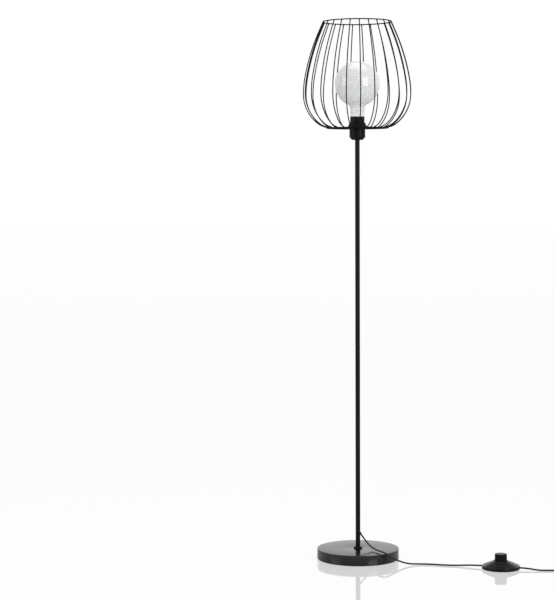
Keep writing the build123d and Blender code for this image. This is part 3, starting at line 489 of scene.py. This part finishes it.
# ---------------------------------------------------------------- base and pole
COVER_FOOT, COVER_WALL, COVER_HOLE = 1.5, 1.0, 5.2
COLLAR_BORE, COLLAR_RADIUS, COLLAR_TOP = 6.6, 12.0, BASE_HEIGHT + 3.0
EXIT_DEPTH = 3.5
CABLE_HOLE_RADIUS, HOLE_INWARD, HOLE_OUTWARD = 3.4, 6, 8
turned(
    "base_cover_shell",
    [
        (BASE_RADIUS - COVER_WALL, COVER_FOOT),
        (BASE_RADIUS, COVER_FOOT),
        (BASE_RADIUS, BASE_HEIGHT),
        (COVER_HOLE, BASE_HEIGHT),
        (COVER_HOLE, BASE_HEIGHT - COVER_WALL),
        (BASE_RADIUS - COVER_WALL, BASE_HEIGHT - COVER_WALL),
    ],
    base_coat,
    "black_powder_coat",
    ["base_cover"],
    columns=256,
    radius=1.1,
)
turned(
    "pole_collar",
    [
        (COLLAR_BORE, BASE_HEIGHT),
        (COLLAR_RADIUS, BASE_HEIGHT),
        (COLLAR_RADIUS, COLLAR_TOP),
        (COLLAR_BORE, COLLAR_TOP),
    ],
    coat,
    "black_powder_coat",
    ["pole_foot_collar"],
    radius=0.9,
)
for index, name in enumerate(("pole_lower", "pole_middle", "pole_upper")):
    low = BASE_HEIGHT + index * SECTION
    tube = turned(
        name + "_tube",
        [(POLE_BORE, low), (POLE_RADIUS, low), (POLE_RADIUS, low + SECTION), (POLE_BORE, low + SECTION)],
        coat,
        "black_powder_coat",
        [name],
        columns=96,
        radius=0.18,
    )
    if index == 0:
        wall = EXIT - EXIT_ALONG * EXIT_DEPTH
        inner_end, outer_end = wall - EXIT_ALONG * HOLE_INWARD, wall + EXIT_ALONG * HOLE_OUTWARD
        cut(tube, rod("cable_hole", inner_end, outer_end, CABLE_HOLE_RADIUS))


# ---------------------------------------------------------------- lampholder
CUP_FOOT, CUP_RADIUS, CUP_CONE = 15.0, 22.0, 7.5
FLANGE_RADIUS, FLANGE_HEIGHT = 26.0, 3.0
SLEEVE_SEAT, CUP_BORE, SEAT_HEIGHT = 19.9, 18.0, 24.0
CUP_FLOOR_RADIUS, CUP_FLOOR, CUP_FLOOR_CONE = 14.0, 4.0, 8.5
BOSS_RADIUS, BOSS_HEIGHT = 8.5, 10.0
turned(
    "holder_cup",
    [
        (POLE_BORE, POLE_TOP),
        (CUP_FOOT, POLE_TOP),
        (CUP_RADIUS, POLE_TOP + CUP_CONE),
        (CUP_RADIUS, CAP_TOP - FLANGE_HEIGHT),
        (FLANGE_RADIUS, CAP_TOP - FLANGE_HEIGHT),
        (FLANGE_RADIUS, CAP_TOP),
        (SLEEVE_SEAT, CAP_TOP),
        (SLEEVE_SEAT, POLE_TOP + SEAT_HEIGHT),
        (CUP_BORE, POLE_TOP + SEAT_HEIGHT),
        (CUP_BORE, POLE_TOP + CUP_FLOOR_CONE),
        (CUP_FLOOR_RADIUS, POLE_TOP + CUP_FLOOR),
        (BOSS_RADIUS, POLE_TOP + CUP_FLOOR),
        (BOSS_RADIUS, POLE_TOP + BOSS_HEIGHT),
        (POLE_BORE, POLE_TOP + BOSS_HEIGHT),
    ],
    holder_plastic,
    "black_plastic",
    ["holder_cap"],
    radius=0.6,
)
SLEEVE_BORE, SLEEVE_LOWER, SLEEVE_UPPER = 15.0, 19.8, 20.0
SLEEVE_LIP, LIP_HEIGHT = 14.2, 2.0
turned(
    "holder_sleeve_tube",
    [
        (SLEEVE_BORE, SLEEVE_BOTTOM),
        (SLEEVE_LOWER, SLEEVE_BOTTOM),
        (SLEEVE_LOWER, CAP_TOP),
        (SLEEVE_UPPER, CAP_TOP),
        (SLEEVE_UPPER, SLEEVE_TOP),
        (SLEEVE_LIP, SLEEVE_TOP),
        (SLEEVE_LIP, SLEEVE_TOP - LIP_HEIGHT),
        (SLEEVE_BORE, SLEEVE_TOP - LIP_HEIGHT),
    ],
    holder_plastic,
    "black_plastic",
    ["holder_sleeve"],
    radius=0.8,
)


HUB_BORE, HUB_RADIUS, HUB_HEIGHT = 20.1, 29.5, 1.5
SHADE_LIP_RADIUS, SHADE_LIP, SHADE_TOP = 28.0, 1.8, 13.5
GRIPS, GRIP_GROOVE, GRIP_RADIUS, GRIP_FLOOR = 12, 1.5, 26.0, 20.6
shade_base = CAP_TOP + HUB_HEIGHT


def grip(angle, r, z):
    """Scallops round the shade ring, over its flange."""
    flange = shade_base + SHADE_LIP
    if z <= flange + 0.2 or r < GRIP_FLOOR:
        return r, z
    step = 2 * math.pi / GRIPS
    nearest = round(angle / step) * step
    gap = abs(angle - nearest) * GRIP_RADIUS
    depth = math.sqrt(max(GRIP_GROOVE**2 - min(gap, GRIP_GROOVE) ** 2, 0.0))
    return max(r - depth, GRIP_FLOOR), z


turned(
    "shade_clamp_ring",
    [
        (HUB_BORE, shade_base),
        (SHADE_LIP_RADIUS, shade_base),
        (SHADE_LIP_RADIUS, shade_base + SHADE_LIP),
        (26.5, shade_base + SHADE_LIP + 0.1),
        (22.5, shade_base + SHADE_TOP),
        (HUB_BORE, shade_base + SHADE_TOP),
    ],
    holder_plastic,
    "black_plastic",
    ["shade_ring"],
    columns=288,
    radius=0.4,
    shape=grip,
)
turned(
    "cage_hub",
    [(HUB_BORE, CAP_TOP), (HUB_RADIUS, CAP_TOP), (HUB_RADIUS, shade_base), (HUB_BORE, shade_base)],
    wire_coat,
    "black_powder_coat",
    ["cage_centre_ring"],
    radius=0.3,
)


# ---------------------------------------------------------------- wire cage
RIB_RADIUS, RING_WIRE = 1.5, 1.6
LOWER_BENDS = ((102.0, 51.0), (61.0, 28.0))
UPPER_BENDS = ((249.0, 9.8), (547.0, 14.0))
BELLY = (148.5, RING_HEIGHT + 93.5)
RIBS, FIRST_RIB = 23, 2.7
RIB_LEAN, RIB_LEAN_FROM = 2.0, 27.0
RIB_CROWDING, RIB_CROWDING_FROM = 1.3, 139.0
WELD_SWELL, WELD_REACH = 0.45, 2.2


def rib_side(bends, direction):
    """Points from the belly outwards along tangent arcs, and the lean at the end."""
    (r, z), tilt, points = BELLY, 0.0, []
    for radius, turn in bends:
        steps = max(4, int(turn / 1.4))
        for step in range(1, steps + 1):
            angle = math.radians(tilt + turn * step / steps)
            start = math.radians(tilt)
            inward = radius * (math.cos(start) - math.cos(angle))
            along = radius * (math.sin(angle) - math.sin(start))
            points.append((r - inward, z + direction * along))
        r, z = points[-1]
        tilt += turn
    return points, math.radians(tilt)


lower_points, _ = rib_side(LOWER_BENDS, -1)
upper_points, top_lean = rib_side(UPPER_BENDS, 1)
top_height = RING_HEIGHT + CAGE_HEIGHT
bottom_radius = lower_points[-1][0]
straight = upper_points[-1]
top_radius = straight[0] - (top_height - straight[1]) * math.tan(top_lean)
rib_top = top_height - RING_WIRE + 0.3
for share in (0.2, 0.4, 0.6, 0.8, 0.93, 0.96, 0.98, 1.0):
    z = straight[1] + (rib_top - straight[1]) * share
    upper_points.append((straight[0] - (z - straight[1]) * math.tan(top_lean), z))
rib_profile = lower_points[::-1] + [BELLY] + upper_points


def rib(angle):
    """One rib, swelling a little where it is welded to the rings."""
    flat = Vector((math.sin(angle), -math.cos(angle), 0.0))
    path = [flat * r + Vector((0, 0, z)) for r, z in rib_profile]
    lengths = [0.0]
    for before, after in zip(path, path[1:]):
        lengths.append(lengths[-1] + (after - before).length)
    radii = [
        RIB_RADIUS
        + WELD_SWELL * math.exp(-((at / WELD_REACH) ** 2))
        + WELD_SWELL * math.exp(-(((lengths[-1] - at) / WELD_REACH) ** 2))
        for at in lengths
    ]
    return swept(path, radii)


ribs = []
for index in range(RIBS):
    even = index * 360 / RIBS
    drift = RIB_LEAN * math.cos(math.radians(even + RIB_LEAN_FROM))
    drift += RIB_CROWDING * math.cos(math.radians(2 * even + RIB_CROWDING_FROM))
    ribs.append(rib(math.radians(FIRST_RIB + even + drift)))
piece("cage_ribs_wire", *joined(ribs), wire_coat, "black_powder_coat", stands_for=["cage_ribs"], sharp=50)
piece(
    "cage_top_hoop",
    *ring(top_radius, RING_WIRE, top_height),
    wire_coat,
    "black_powder_coat",
    stands_for=["cage_top_ring"],
)
piece(
    "cage_bottom_hoop",
    *ring(bottom_radius, RING_WIRE, RING_HEIGHT),
    wire_coat,
    "black_powder_coat",
    stands_for=["cage_bottom_ring"],
)
ARMS, FIRST_ARM, ARM_START = 3, 30.0, 29.2
ARM_SWELL, HUB_WELD_REACH, HOOP_WELD_REACH = 0.35, 1.8, 2.4
arm_stations = [ARM_START, 29.8, 30.6, 32.0, 34.0, 56.0, 78.0, 80.5, 82.0, 83.0, bottom_radius]


def arm_radius(at):
    """The wire's radius along an arm, swelling a little at both welds."""
    at_hub = math.exp(-(((at - ARM_START) / HUB_WELD_REACH) ** 2))
    at_hoop = math.exp(-(((bottom_radius - at) / HOOP_WELD_REACH) ** 2))
    return RIB_RADIUS + ARM_SWELL * at_hub + ARM_SWELL * at_hoop


arms = []
for index in range(ARMS):
    angle = math.radians(FIRST_ARM + 360 / ARMS * index)
    along = Vector((math.cos(angle), math.sin(angle), 0.0))
    arm_path = [along * at + Vector((0, 0, RING_HEIGHT)) for at in arm_stations]
    arms.append(swept(arm_path, [arm_radius(at) for at in arm_stations]))
piece("cage_spider", *joined(arms), wire_coat, "black_powder_coat", stands_for=["cage_arms"], sharp=50)


# ---------------------------------------------------------------- bulb
def arc(centre, radius, start, end, steps):
    """Points on an arc between two angles in degrees."""
    return [
        (
            centre[0] + radius * math.cos(math.radians(start + (end - start) * step / steps)),
            centre[1] + radius * math.sin(math.radians(start + (end - start) * step / steps)),
        )
        for step in range(steps + 1)
    ]


NECK_RADIUS, NECK_FILLET, GLASS = 19.5, 12.0, 1.2
BULB_COLLAR, BULB_COLLAR_BORE, BULB_COLLAR_WALL = 19.0, 16.4, 1.6
BOARD_RECESS, CAP_BORE = 17.4, 11.6
collar_top = BULB_SEAT + 12.5
fillet_out = NECK_RADIUS + NECK_FILLET
fillet_drop = math.sqrt((GLOBE_RADIUS + NECK_FILLET) ** 2 - fillet_out**2)
fillet_at = (fillet_out, GLOBE_CENTRE - fillet_drop)
meet = -math.degrees(math.atan2(fillet_drop, fillet_out))


def globe_line(inset):
    """The globe's line from the collar up to the crown."""
    line = [(NECK_RADIUS - inset, collar_top), (NECK_RADIUS - inset, (collar_top + fillet_at[1]) / 2)]
    line += arc(fillet_at, NECK_FILLET + inset, 180, 180 + meet, 12)
    line += arc((0.0, GLOBE_CENTRE), GLOBE_RADIUS - inset, meet, 90, 56)[1:]
    line[-1] = (0.0, line[-1][1])
    return line


turned(
    "bulb_opal_globe",
    globe_line(0.0) + globe_line(GLASS)[::-1],
    opal,
    "opal",
    ["bulb_globe"],
    "bulb",
    columns=160,
    radius=0,
    sharp=60,
)
turned(
    "bulb_white_collar",
    [
        (CAP_BORE, BULB_SEAT),
        (BULB_COLLAR, BULB_SEAT),
        (BULB_COLLAR, collar_top),
        (BOARD_RECESS, collar_top),
        (BOARD_RECESS, collar_top - BULB_COLLAR_WALL),
        (BULB_COLLAR_BORE, collar_top - BULB_COLLAR_WALL),
        (BULB_COLLAR_BORE, BULB_SEAT + BULB_COLLAR_WALL),
        (CAP_BORE, BULB_SEAT + BULB_COLLAR_WALL),
    ],
    white_plastic,
    "white_plastic",
    ["bulb_collar"],
    "bulb",
    radius=0.9,
)
PITCH, THREAD_OUT, THREAD_IN = 3.629, 13.2, 12.2
THREAD_TURNS, THREAD_STEPS, THREAD_FADE = 5, 60, 1.5
SCREW_CAP_LENGTH = 23.2
thread_top = BULB_SEAT - (SCREW_CAP_LENGTH - THREAD_TURNS * PITCH) / 2
thread_bottom = thread_top - THREAD_TURNS * PITCH
cap_bottom = BULB_SEAT - SCREW_CAP_LENGTH


def thread(angle, r, z):
    """Rolled right-hand thread on the bulb's screw cap, fading out at both ends."""
    fade = min((thread_top - z) / THREAD_FADE, (z - thread_bottom) / THREAD_FADE, 1.0)
    if fade <= 0 or r < 11.0:
        return r, z
    wave = 0.5 + 0.5 * math.cos(2 * math.pi * (z - thread_top) / PITCH - angle)
    return r + (THREAD_OUT - THREAD_IN) * wave * fade, z


cap_heights = [
    thread_bottom + THREAD_TURNS * PITCH * step / THREAD_STEPS for step in range(THREAD_STEPS + 1)
]
turned(
    "bulb_screw_shell",
    [(11.5, cap_bottom)]
    + [(THREAD_IN, z) for z in cap_heights]
    + [(THREAD_IN, BULB_SEAT), (CAP_BORE, BULB_SEAT), (CAP_BORE, cap_bottom + 3.0), (10.9, cap_bottom)],
    nickel,
    "nickel_shell",
    ["bulb_screw_cap"],
    "bulb",
    columns=96,
    radius=0,
    shape=thread,
)

# ---------------------------------------------------------------- foot switch
switch_place = Matrix.Translation(SWITCH_CENTRE) @ Matrix.Rotation(SWITCH_TURN, 4, "Z")
RIDGE_OUTER, RIDGE_STEP, RIDGE_SWELL = 43.84, 6.06, 0.45
BUTTON_TOP, BUTTON_CEILING, BUTTON_FOOT, BUTTON_FLANGE = 41.5, 39.1, 12.2, 1.5
BUTTON_RIM, POST_RADIUS = 19.6, 2.5


def ridged_plastic():
    """Glossy plastic whose relief swells at each ridge of the switch cover."""
    made = Surface("ridged_plastic", grey(0.004), 0.14, Specular_IOR_Level=0.16)
    made.vary_roughness(90.0, 0.03)
    centred = made.node("ShaderNodeMapping", Location=(-SWITCH_CENTRE.x * MM, -SWITCH_CENTRE.y * MM, 0.0))
    flat = made.node("ShaderNodeVectorMath", operation="MULTIPLY")
    flat.inputs[1].default_value = (1.0, 1.0, 0.0)
    out = made.node("ShaderNodeVectorMath", operation="LENGTH")
    turn = made.node("ShaderNodeMath", operation="MULTIPLY_ADD")
    turn.inputs[1].default_value = 2 * math.pi / (RIDGE_STEP * MM)
    turn.inputs[2].default_value = -2 * math.pi * RIDGE_OUTER / RIDGE_STEP
    wave = made.node("ShaderNodeMath", operation="COSINE")
    relief = made.node("ShaderNodeBump", Strength=1.0, Distance=RIDGE_SWELL * MM)
    made.link(made.place, centred.inputs["Vector"])
    made.link(centred.outputs["Vector"], flat.inputs[0])
    made.link(flat.outputs["Vector"], out.inputs[0])
    made.link(out.outputs["Value"], turn.inputs[0])
    made.link(turn.outputs["Value"], wave.inputs[0])
    made.link(wave.outputs["Value"], relief.inputs["Height"])
    made.height = relief.outputs["Normal"]
    return made.bump(2200.0, 0.00001, 0.3)


nodes["switch_cover"].material_slots[0].material = ridged_plastic().material
foot_cover_softening = nodes["switch_cover"].modifiers.new("soft_ridges", "BEVEL")
foot_cover_softening.width, foot_cover_softening.segments = 0.35 * MM, 3
foot_cover_softening.angle_limit = math.radians(25)
foot_button = turned(
    "foot_switch_button",
    [
        (0.0, BUTTON_TOP),
        (16.4, BUTTON_TOP),
        (17.0, BUTTON_FOOT + BUTTON_FLANGE),
        (BUTTON_RIM, BUTTON_FOOT + BUTTON_FLANGE),
        (BUTTON_RIM, BUTTON_FOOT),
        (14.6, BUTTON_FOOT),
        (14.0, BUTTON_CEILING),
        (POST_RADIUS, BUTTON_CEILING),
        (POST_RADIUS, BUTTON_FOOT),
        (0.0, BUTTON_FOOT),
    ],
    switch_plastic,
    "black_gloss_plastic",
    ["switch_button"],
    "foot_button",
    radius=1.6,
    place=switch_place,
)

SPRING_RADIUS, SPRING_WIRE, SPRING_TURNS = 8.4, 0.6, 6.5
SPRING_FOOT, SPRING_HEAD, BUTTON_TRAVEL = 13.2, BUTTON_CEILING, 4.0
POINTS_A_TURN = 40


def spring_path():
    """The return spring's line, between the switch module and the button's ceiling."""
    steps = round(SPRING_TURNS * POINTS_A_TURN)
    low, high = SPRING_FOOT + SPRING_WIRE, SPRING_HEAD - SPRING_WIRE
    points = []
    for step in range(steps + 1):
        angle = math.pi + 2 * math.pi * SPRING_TURNS * step / steps
        x, y = SPRING_RADIUS * math.cos(angle), SPRING_RADIUS * math.sin(angle)
        points.append(switch_place @ Vector((x, y, low + (high - low) * step / steps)))
    return points


spring_line = spring_path()
foot_spring = piece(
    "foot_switch_spring",
    *swept(spring_line, [SPRING_WIRE] * len(spring_line), 12),
    bright_steel,
    "spring_steel",
    stands_for=["switch_spring"],
    sharp=50,
)
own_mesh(foot_spring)

# ---------------------------------------------------------------- plug
RELIEF, PLUG_LENGTH = 22.0, 24.0
PIN_SPACING, PIN_RADIUS, PIN_SLEEVE = 19.0, 2.0, 10.0
RELIEF_BORE, RELIEF_TIP, RELIEF_ROOT, RELIEF_GROOVES = 2.35, 3.4, 6.2, 4
plug_across = Vector((plug_along.y, -plug_along.x, 0.0))
plug_place = Matrix.Translation(plug_entry) @ Matrix(
    (
        (plug_across.x, 0, plug_along.x, 0),
        (plug_across.y, 0, plug_along.y, 0),
        (0, 1, 0, 0),
        (0, 0, 0, 1),
    )
)
relief_line = [(RELIEF_BORE, 0.0), (RELIEF_TIP, 0.0)]
for index in range(RELIEF_GROOVES):
    start = RELIEF * (index + 1) / (RELIEF_GROOVES + 1)
    at = RELIEF_TIP + (RELIEF_ROOT - RELIEF_TIP) * start / RELIEF
    relief_line += [(at - 0.1, start - 0.8), (at - 0.7, start - 0.5)]
    relief_line += [(at - 0.6, start + 0.5), (at + 0.1, start + 0.8)]
relief_line += [(RELIEF_ROOT, RELIEF), (RELIEF_BORE, RELIEF)]
plug_relief = turned(
    "plug_strain_sleeve",
    relief_line,
    cord_jacket,
    "cord_black",
    ["plug_strain_relief"],
    columns=64,
    radius=0.35,
    place=plug_place,
)
# each section's place along the plug, half width, half height and squareness
PLUG_SECTIONS = (
    (22.0, 7.4, 5.9, 2.4),
    (22.8, 8.5, 6.5, 2.4),
    (27.0, 11.0, 6.9, 2.6),
    (32.0, 14.2, 7.15, 3.0),
    (37.5, 16.4, 7.2, 3.4),
    (43.0, 17.5, 7.2, 3.8),
    (45.4, 17.6, 7.1, 3.8),
    (46.0, 17.1, 6.6, 3.8),
)


def plug_shell():
    """Flat plug body from rounded sections, widening towards the pins."""
    verts, faces = [], []
    sides = 72
    for along, half_width, half_height, power in PLUG_SECTIONS:
        for side in range(sides):
            angle = 2 * math.pi * side / sides
            c, s = math.cos(angle), math.sin(angle)
            x = half_width * math.copysign(abs(c) ** (2 / power), c)
            y = half_height * math.copysign(abs(s) ** (2 / power), s)
            verts.append(plug_place @ Vector((x, y, along)))
    for row in range(len(PLUG_SECTIONS) - 1):
        for side in range(sides):
            after = (side + 1) % sides
            low, high = row * sides, (row + 1) * sides
            faces.append((low + side, low + after, high + after, high + side))
    faces.append(tuple(range(sides)))
    faces.append(tuple(range(len(verts) - sides, len(verts))))
    return verts, faces


plug_shape = piece(
    "plug_moulding",
    *plug_shell(),
    dull_plastic,
    "black_plastic",
    stands_for=["plug_body"],
    sharp=40,
)
# each station's place along a pin and the pin's radius there
PIN_STATIONS = ((9.9, 1.8), (10.1, 1.98), (17.4, PIN_RADIUS), (18.2, 1.75), (18.7, 1.2), (18.95, 0.5))
sleeves, tips = [], []
for side in (-1, 1):
    root = plug_place @ Vector((side * PIN_SPACING / 2, 0, RELIEF + PLUG_LENGTH))
    sleeve_path = [root + plug_along * at for at in (-1.0, PIN_SLEEVE - 0.2, PIN_SLEEVE)]
    sleeves.append(swept(sleeve_path, [PIN_RADIUS, PIN_RADIUS, 1.85], 32))
    tip_path = [root + plug_along * at for at, _ in PIN_STATIONS]
    tips.append(swept(tip_path, [radius for _, radius in PIN_STATIONS], 32))
pin_sleeves = piece("plug_pin_sleeves", *joined(sleeves), dull_plastic, "black_plastic", sharp=30)
pin_tips = piece("plug_pin_tips", *joined(tips), nickel, "nickel_shell", stands_for=["plug_pins"], sharp=50)

switch_pieces = [foot_button, foot_spring]
switch_pieces += [node for name, node in nodes.items() if name.startswith("switch_") and not node.hide_render]


# ---------------------------------------------------------------- stage and light
FLOOR_SIZE, FLOOR_PAINT, FLOOR_GLOW_SHARE = 40.0, 0.9, 0.86
FLOOR_ROUGHNESS, FLOOR_IOR = 0.05, 1.75
FLOOR_DIM, FLOOR_DIM_SHARE = 0.15, 0.6
ROOM_AS_LIGHT, ROOM_WHITE = 0.5, 1.0
ROOM_FRONT, ROOM_BEHIND, ROOM_FRONT_FROM = 0.8, 1.0, -0.95


def stage():
    """Pale polished floor that mirrors the lamp faintly, and shows dimmer in the lamp itself."""
    mesh = bpy.data.meshes.new("floor")
    low, high = -FLOOR_SIZE, FLOOR_SIZE
    mesh.from_pydata([(low, low, 0), (high, low, 0), (high, high, 0), (low, high, 0)], [], [(0, 1, 2, 3)])
    floor = bpy.data.objects.new("floor", mesh)
    bpy.context.scene.collection.objects.link(floor)
    material = bpy.data.materials.new("floor_gloss")
    material.use_nodes = True
    tree = material.node_tree
    tree.nodes.clear()

    def node(kind):
        return tree.nodes.new("ShaderNode" + kind)

    paint, glow, gloss, fresnel = node("BsdfDiffuse"), node("Emission"), node("BsdfGlossy"), node("Fresnel")
    rays, share = node("LightPath"), node("Math")
    dim, dimmed, mirrored = node("BsdfDiffuse"), node("Math"), node("MixShader")
    base, whole, output = node("MixShader"), node("MixShader"), node("OutputMaterial")
    paint.inputs["Color"].default_value = grey(FLOOR_PAINT)
    glow.inputs["Color"].default_value = grey(1.0)
    gloss.inputs["Color"].default_value = grey(1.0)
    gloss.inputs["Roughness"].default_value = FLOOR_ROUGHNESS
    fresnel.inputs["IOR"].default_value = FLOOR_IOR
    share.operation = "MULTIPLY"
    share.inputs[1].default_value = FLOOR_GLOW_SHARE
    tree.links.new(rays.outputs["Is Camera Ray"], share.inputs[0])
    tree.links.new(share.outputs[0], base.inputs[0])
    tree.links.new(paint.outputs[0], base.inputs[1])
    tree.links.new(glow.outputs[0], base.inputs[2])
    tree.links.new(fresnel.outputs[0], whole.inputs[0])
    dim.inputs["Color"].default_value = grey(FLOOR_DIM)
    dimmed.operation = "MULTIPLY"
    dimmed.inputs[1].default_value = FLOOR_DIM_SHARE
    tree.links.new(rays.outputs["Is Glossy Ray"], dimmed.inputs[0])
    tree.links.new(dimmed.outputs[0], mirrored.inputs[0])
    tree.links.new(base.outputs[0], mirrored.inputs[1])
    tree.links.new(dim.outputs[0], mirrored.inputs[2])
    tree.links.new(mirrored.outputs[0], whole.inputs[1])
    tree.links.new(gloss.outputs[0], whole.inputs[2])
    tree.links.new(whole.outputs[0], output.inputs[0])
    mesh.materials.append(material)


def surroundings():
    """White to the camera, a little darker where it mirrors the front, and half as bright as a light."""
    world = bpy.data.worlds.new("studio")
    world.use_nodes = True
    bpy.context.scene.world = world
    tree = world.node_tree
    tree.nodes.clear()
    rays = tree.nodes.new("ShaderNodeLightPath")
    clear = tree.nodes.new("ShaderNodeMath")
    direct = tree.nodes.new("ShaderNodeMapRange")
    toward = tree.nodes.new("ShaderNodeTexCoord")
    split = tree.nodes.new("ShaderNodeSeparateXYZ")
    front = tree.nodes.new("ShaderNodeMapRange")
    mirror = tree.nodes.new("ShaderNodeMix")
    back = tree.nodes.new("ShaderNodeBackground")
    back.inputs["Color"].default_value = grey(1.0)
    output = tree.nodes.new("ShaderNodeOutputWorld")
    clear.operation = "MAXIMUM"
    tree.links.new(rays.outputs["Is Camera Ray"], clear.inputs[0])
    tree.links.new(rays.outputs["Is Transmission Ray"], clear.inputs[1])
    tree.links.new(clear.outputs[0], direct.inputs["Value"])
    direct.inputs["To Min"].default_value = ROOM_AS_LIGHT
    direct.inputs["To Max"].default_value = ROOM_WHITE
    tree.links.new(toward.outputs["Generated"], split.inputs[0])
    tree.links.new(split.outputs["Y"], front.inputs["Value"])
    front.inputs["From Min"].default_value = ROOM_FRONT_FROM
    front.inputs["From Max"].default_value = 0.0
    front.inputs["To Min"].default_value = ROOM_FRONT
    front.inputs["To Max"].default_value = ROOM_BEHIND
    tree.links.new(rays.outputs["Is Glossy Ray"], mirror.inputs[0])
    tree.links.new(direct.outputs["Result"], mirror.inputs[2])
    tree.links.new(front.outputs["Result"], mirror.inputs[3])
    tree.links.new(mirror.outputs[0], back.inputs["Strength"])
    tree.links.new(back.outputs[0], output.inputs[0])


def softbox(name, at, target, size, power):
    """Area light facing a target, with its size in metres and its power in watts."""
    data = bpy.data.lights.new(name, "AREA")
    data.shape = "RECTANGLE"
    data.size, data.size_y = size
    data.energy = power
    lamp = bpy.data.objects.new(name, data)
    away = (Vector(at) - Vector(target)).normalized()
    lamp.matrix_world = Matrix.Translation(at) @ away.to_track_quat("Z", "Y").to_matrix().to_4x4()
    bpy.context.scene.collection.objects.link(lamp)


stage()
surroundings()
softbox("window_right", (2.1, -2.3, 1.75), (0, 0, 1.2), (1.5, 2.2), 48.0)
softbox("fill_left", (-2.8, -1.2, 1.7), (0, 0, 0.9), (1.6, 2.2), 24.0)
softbox("overhead", (0.2, 0.1, 3.4), (0.1, 0, 0), (2.4, 2.0), 26.0)

scene = bpy.context.scene
scene.view_settings.view_transform = "Standard"
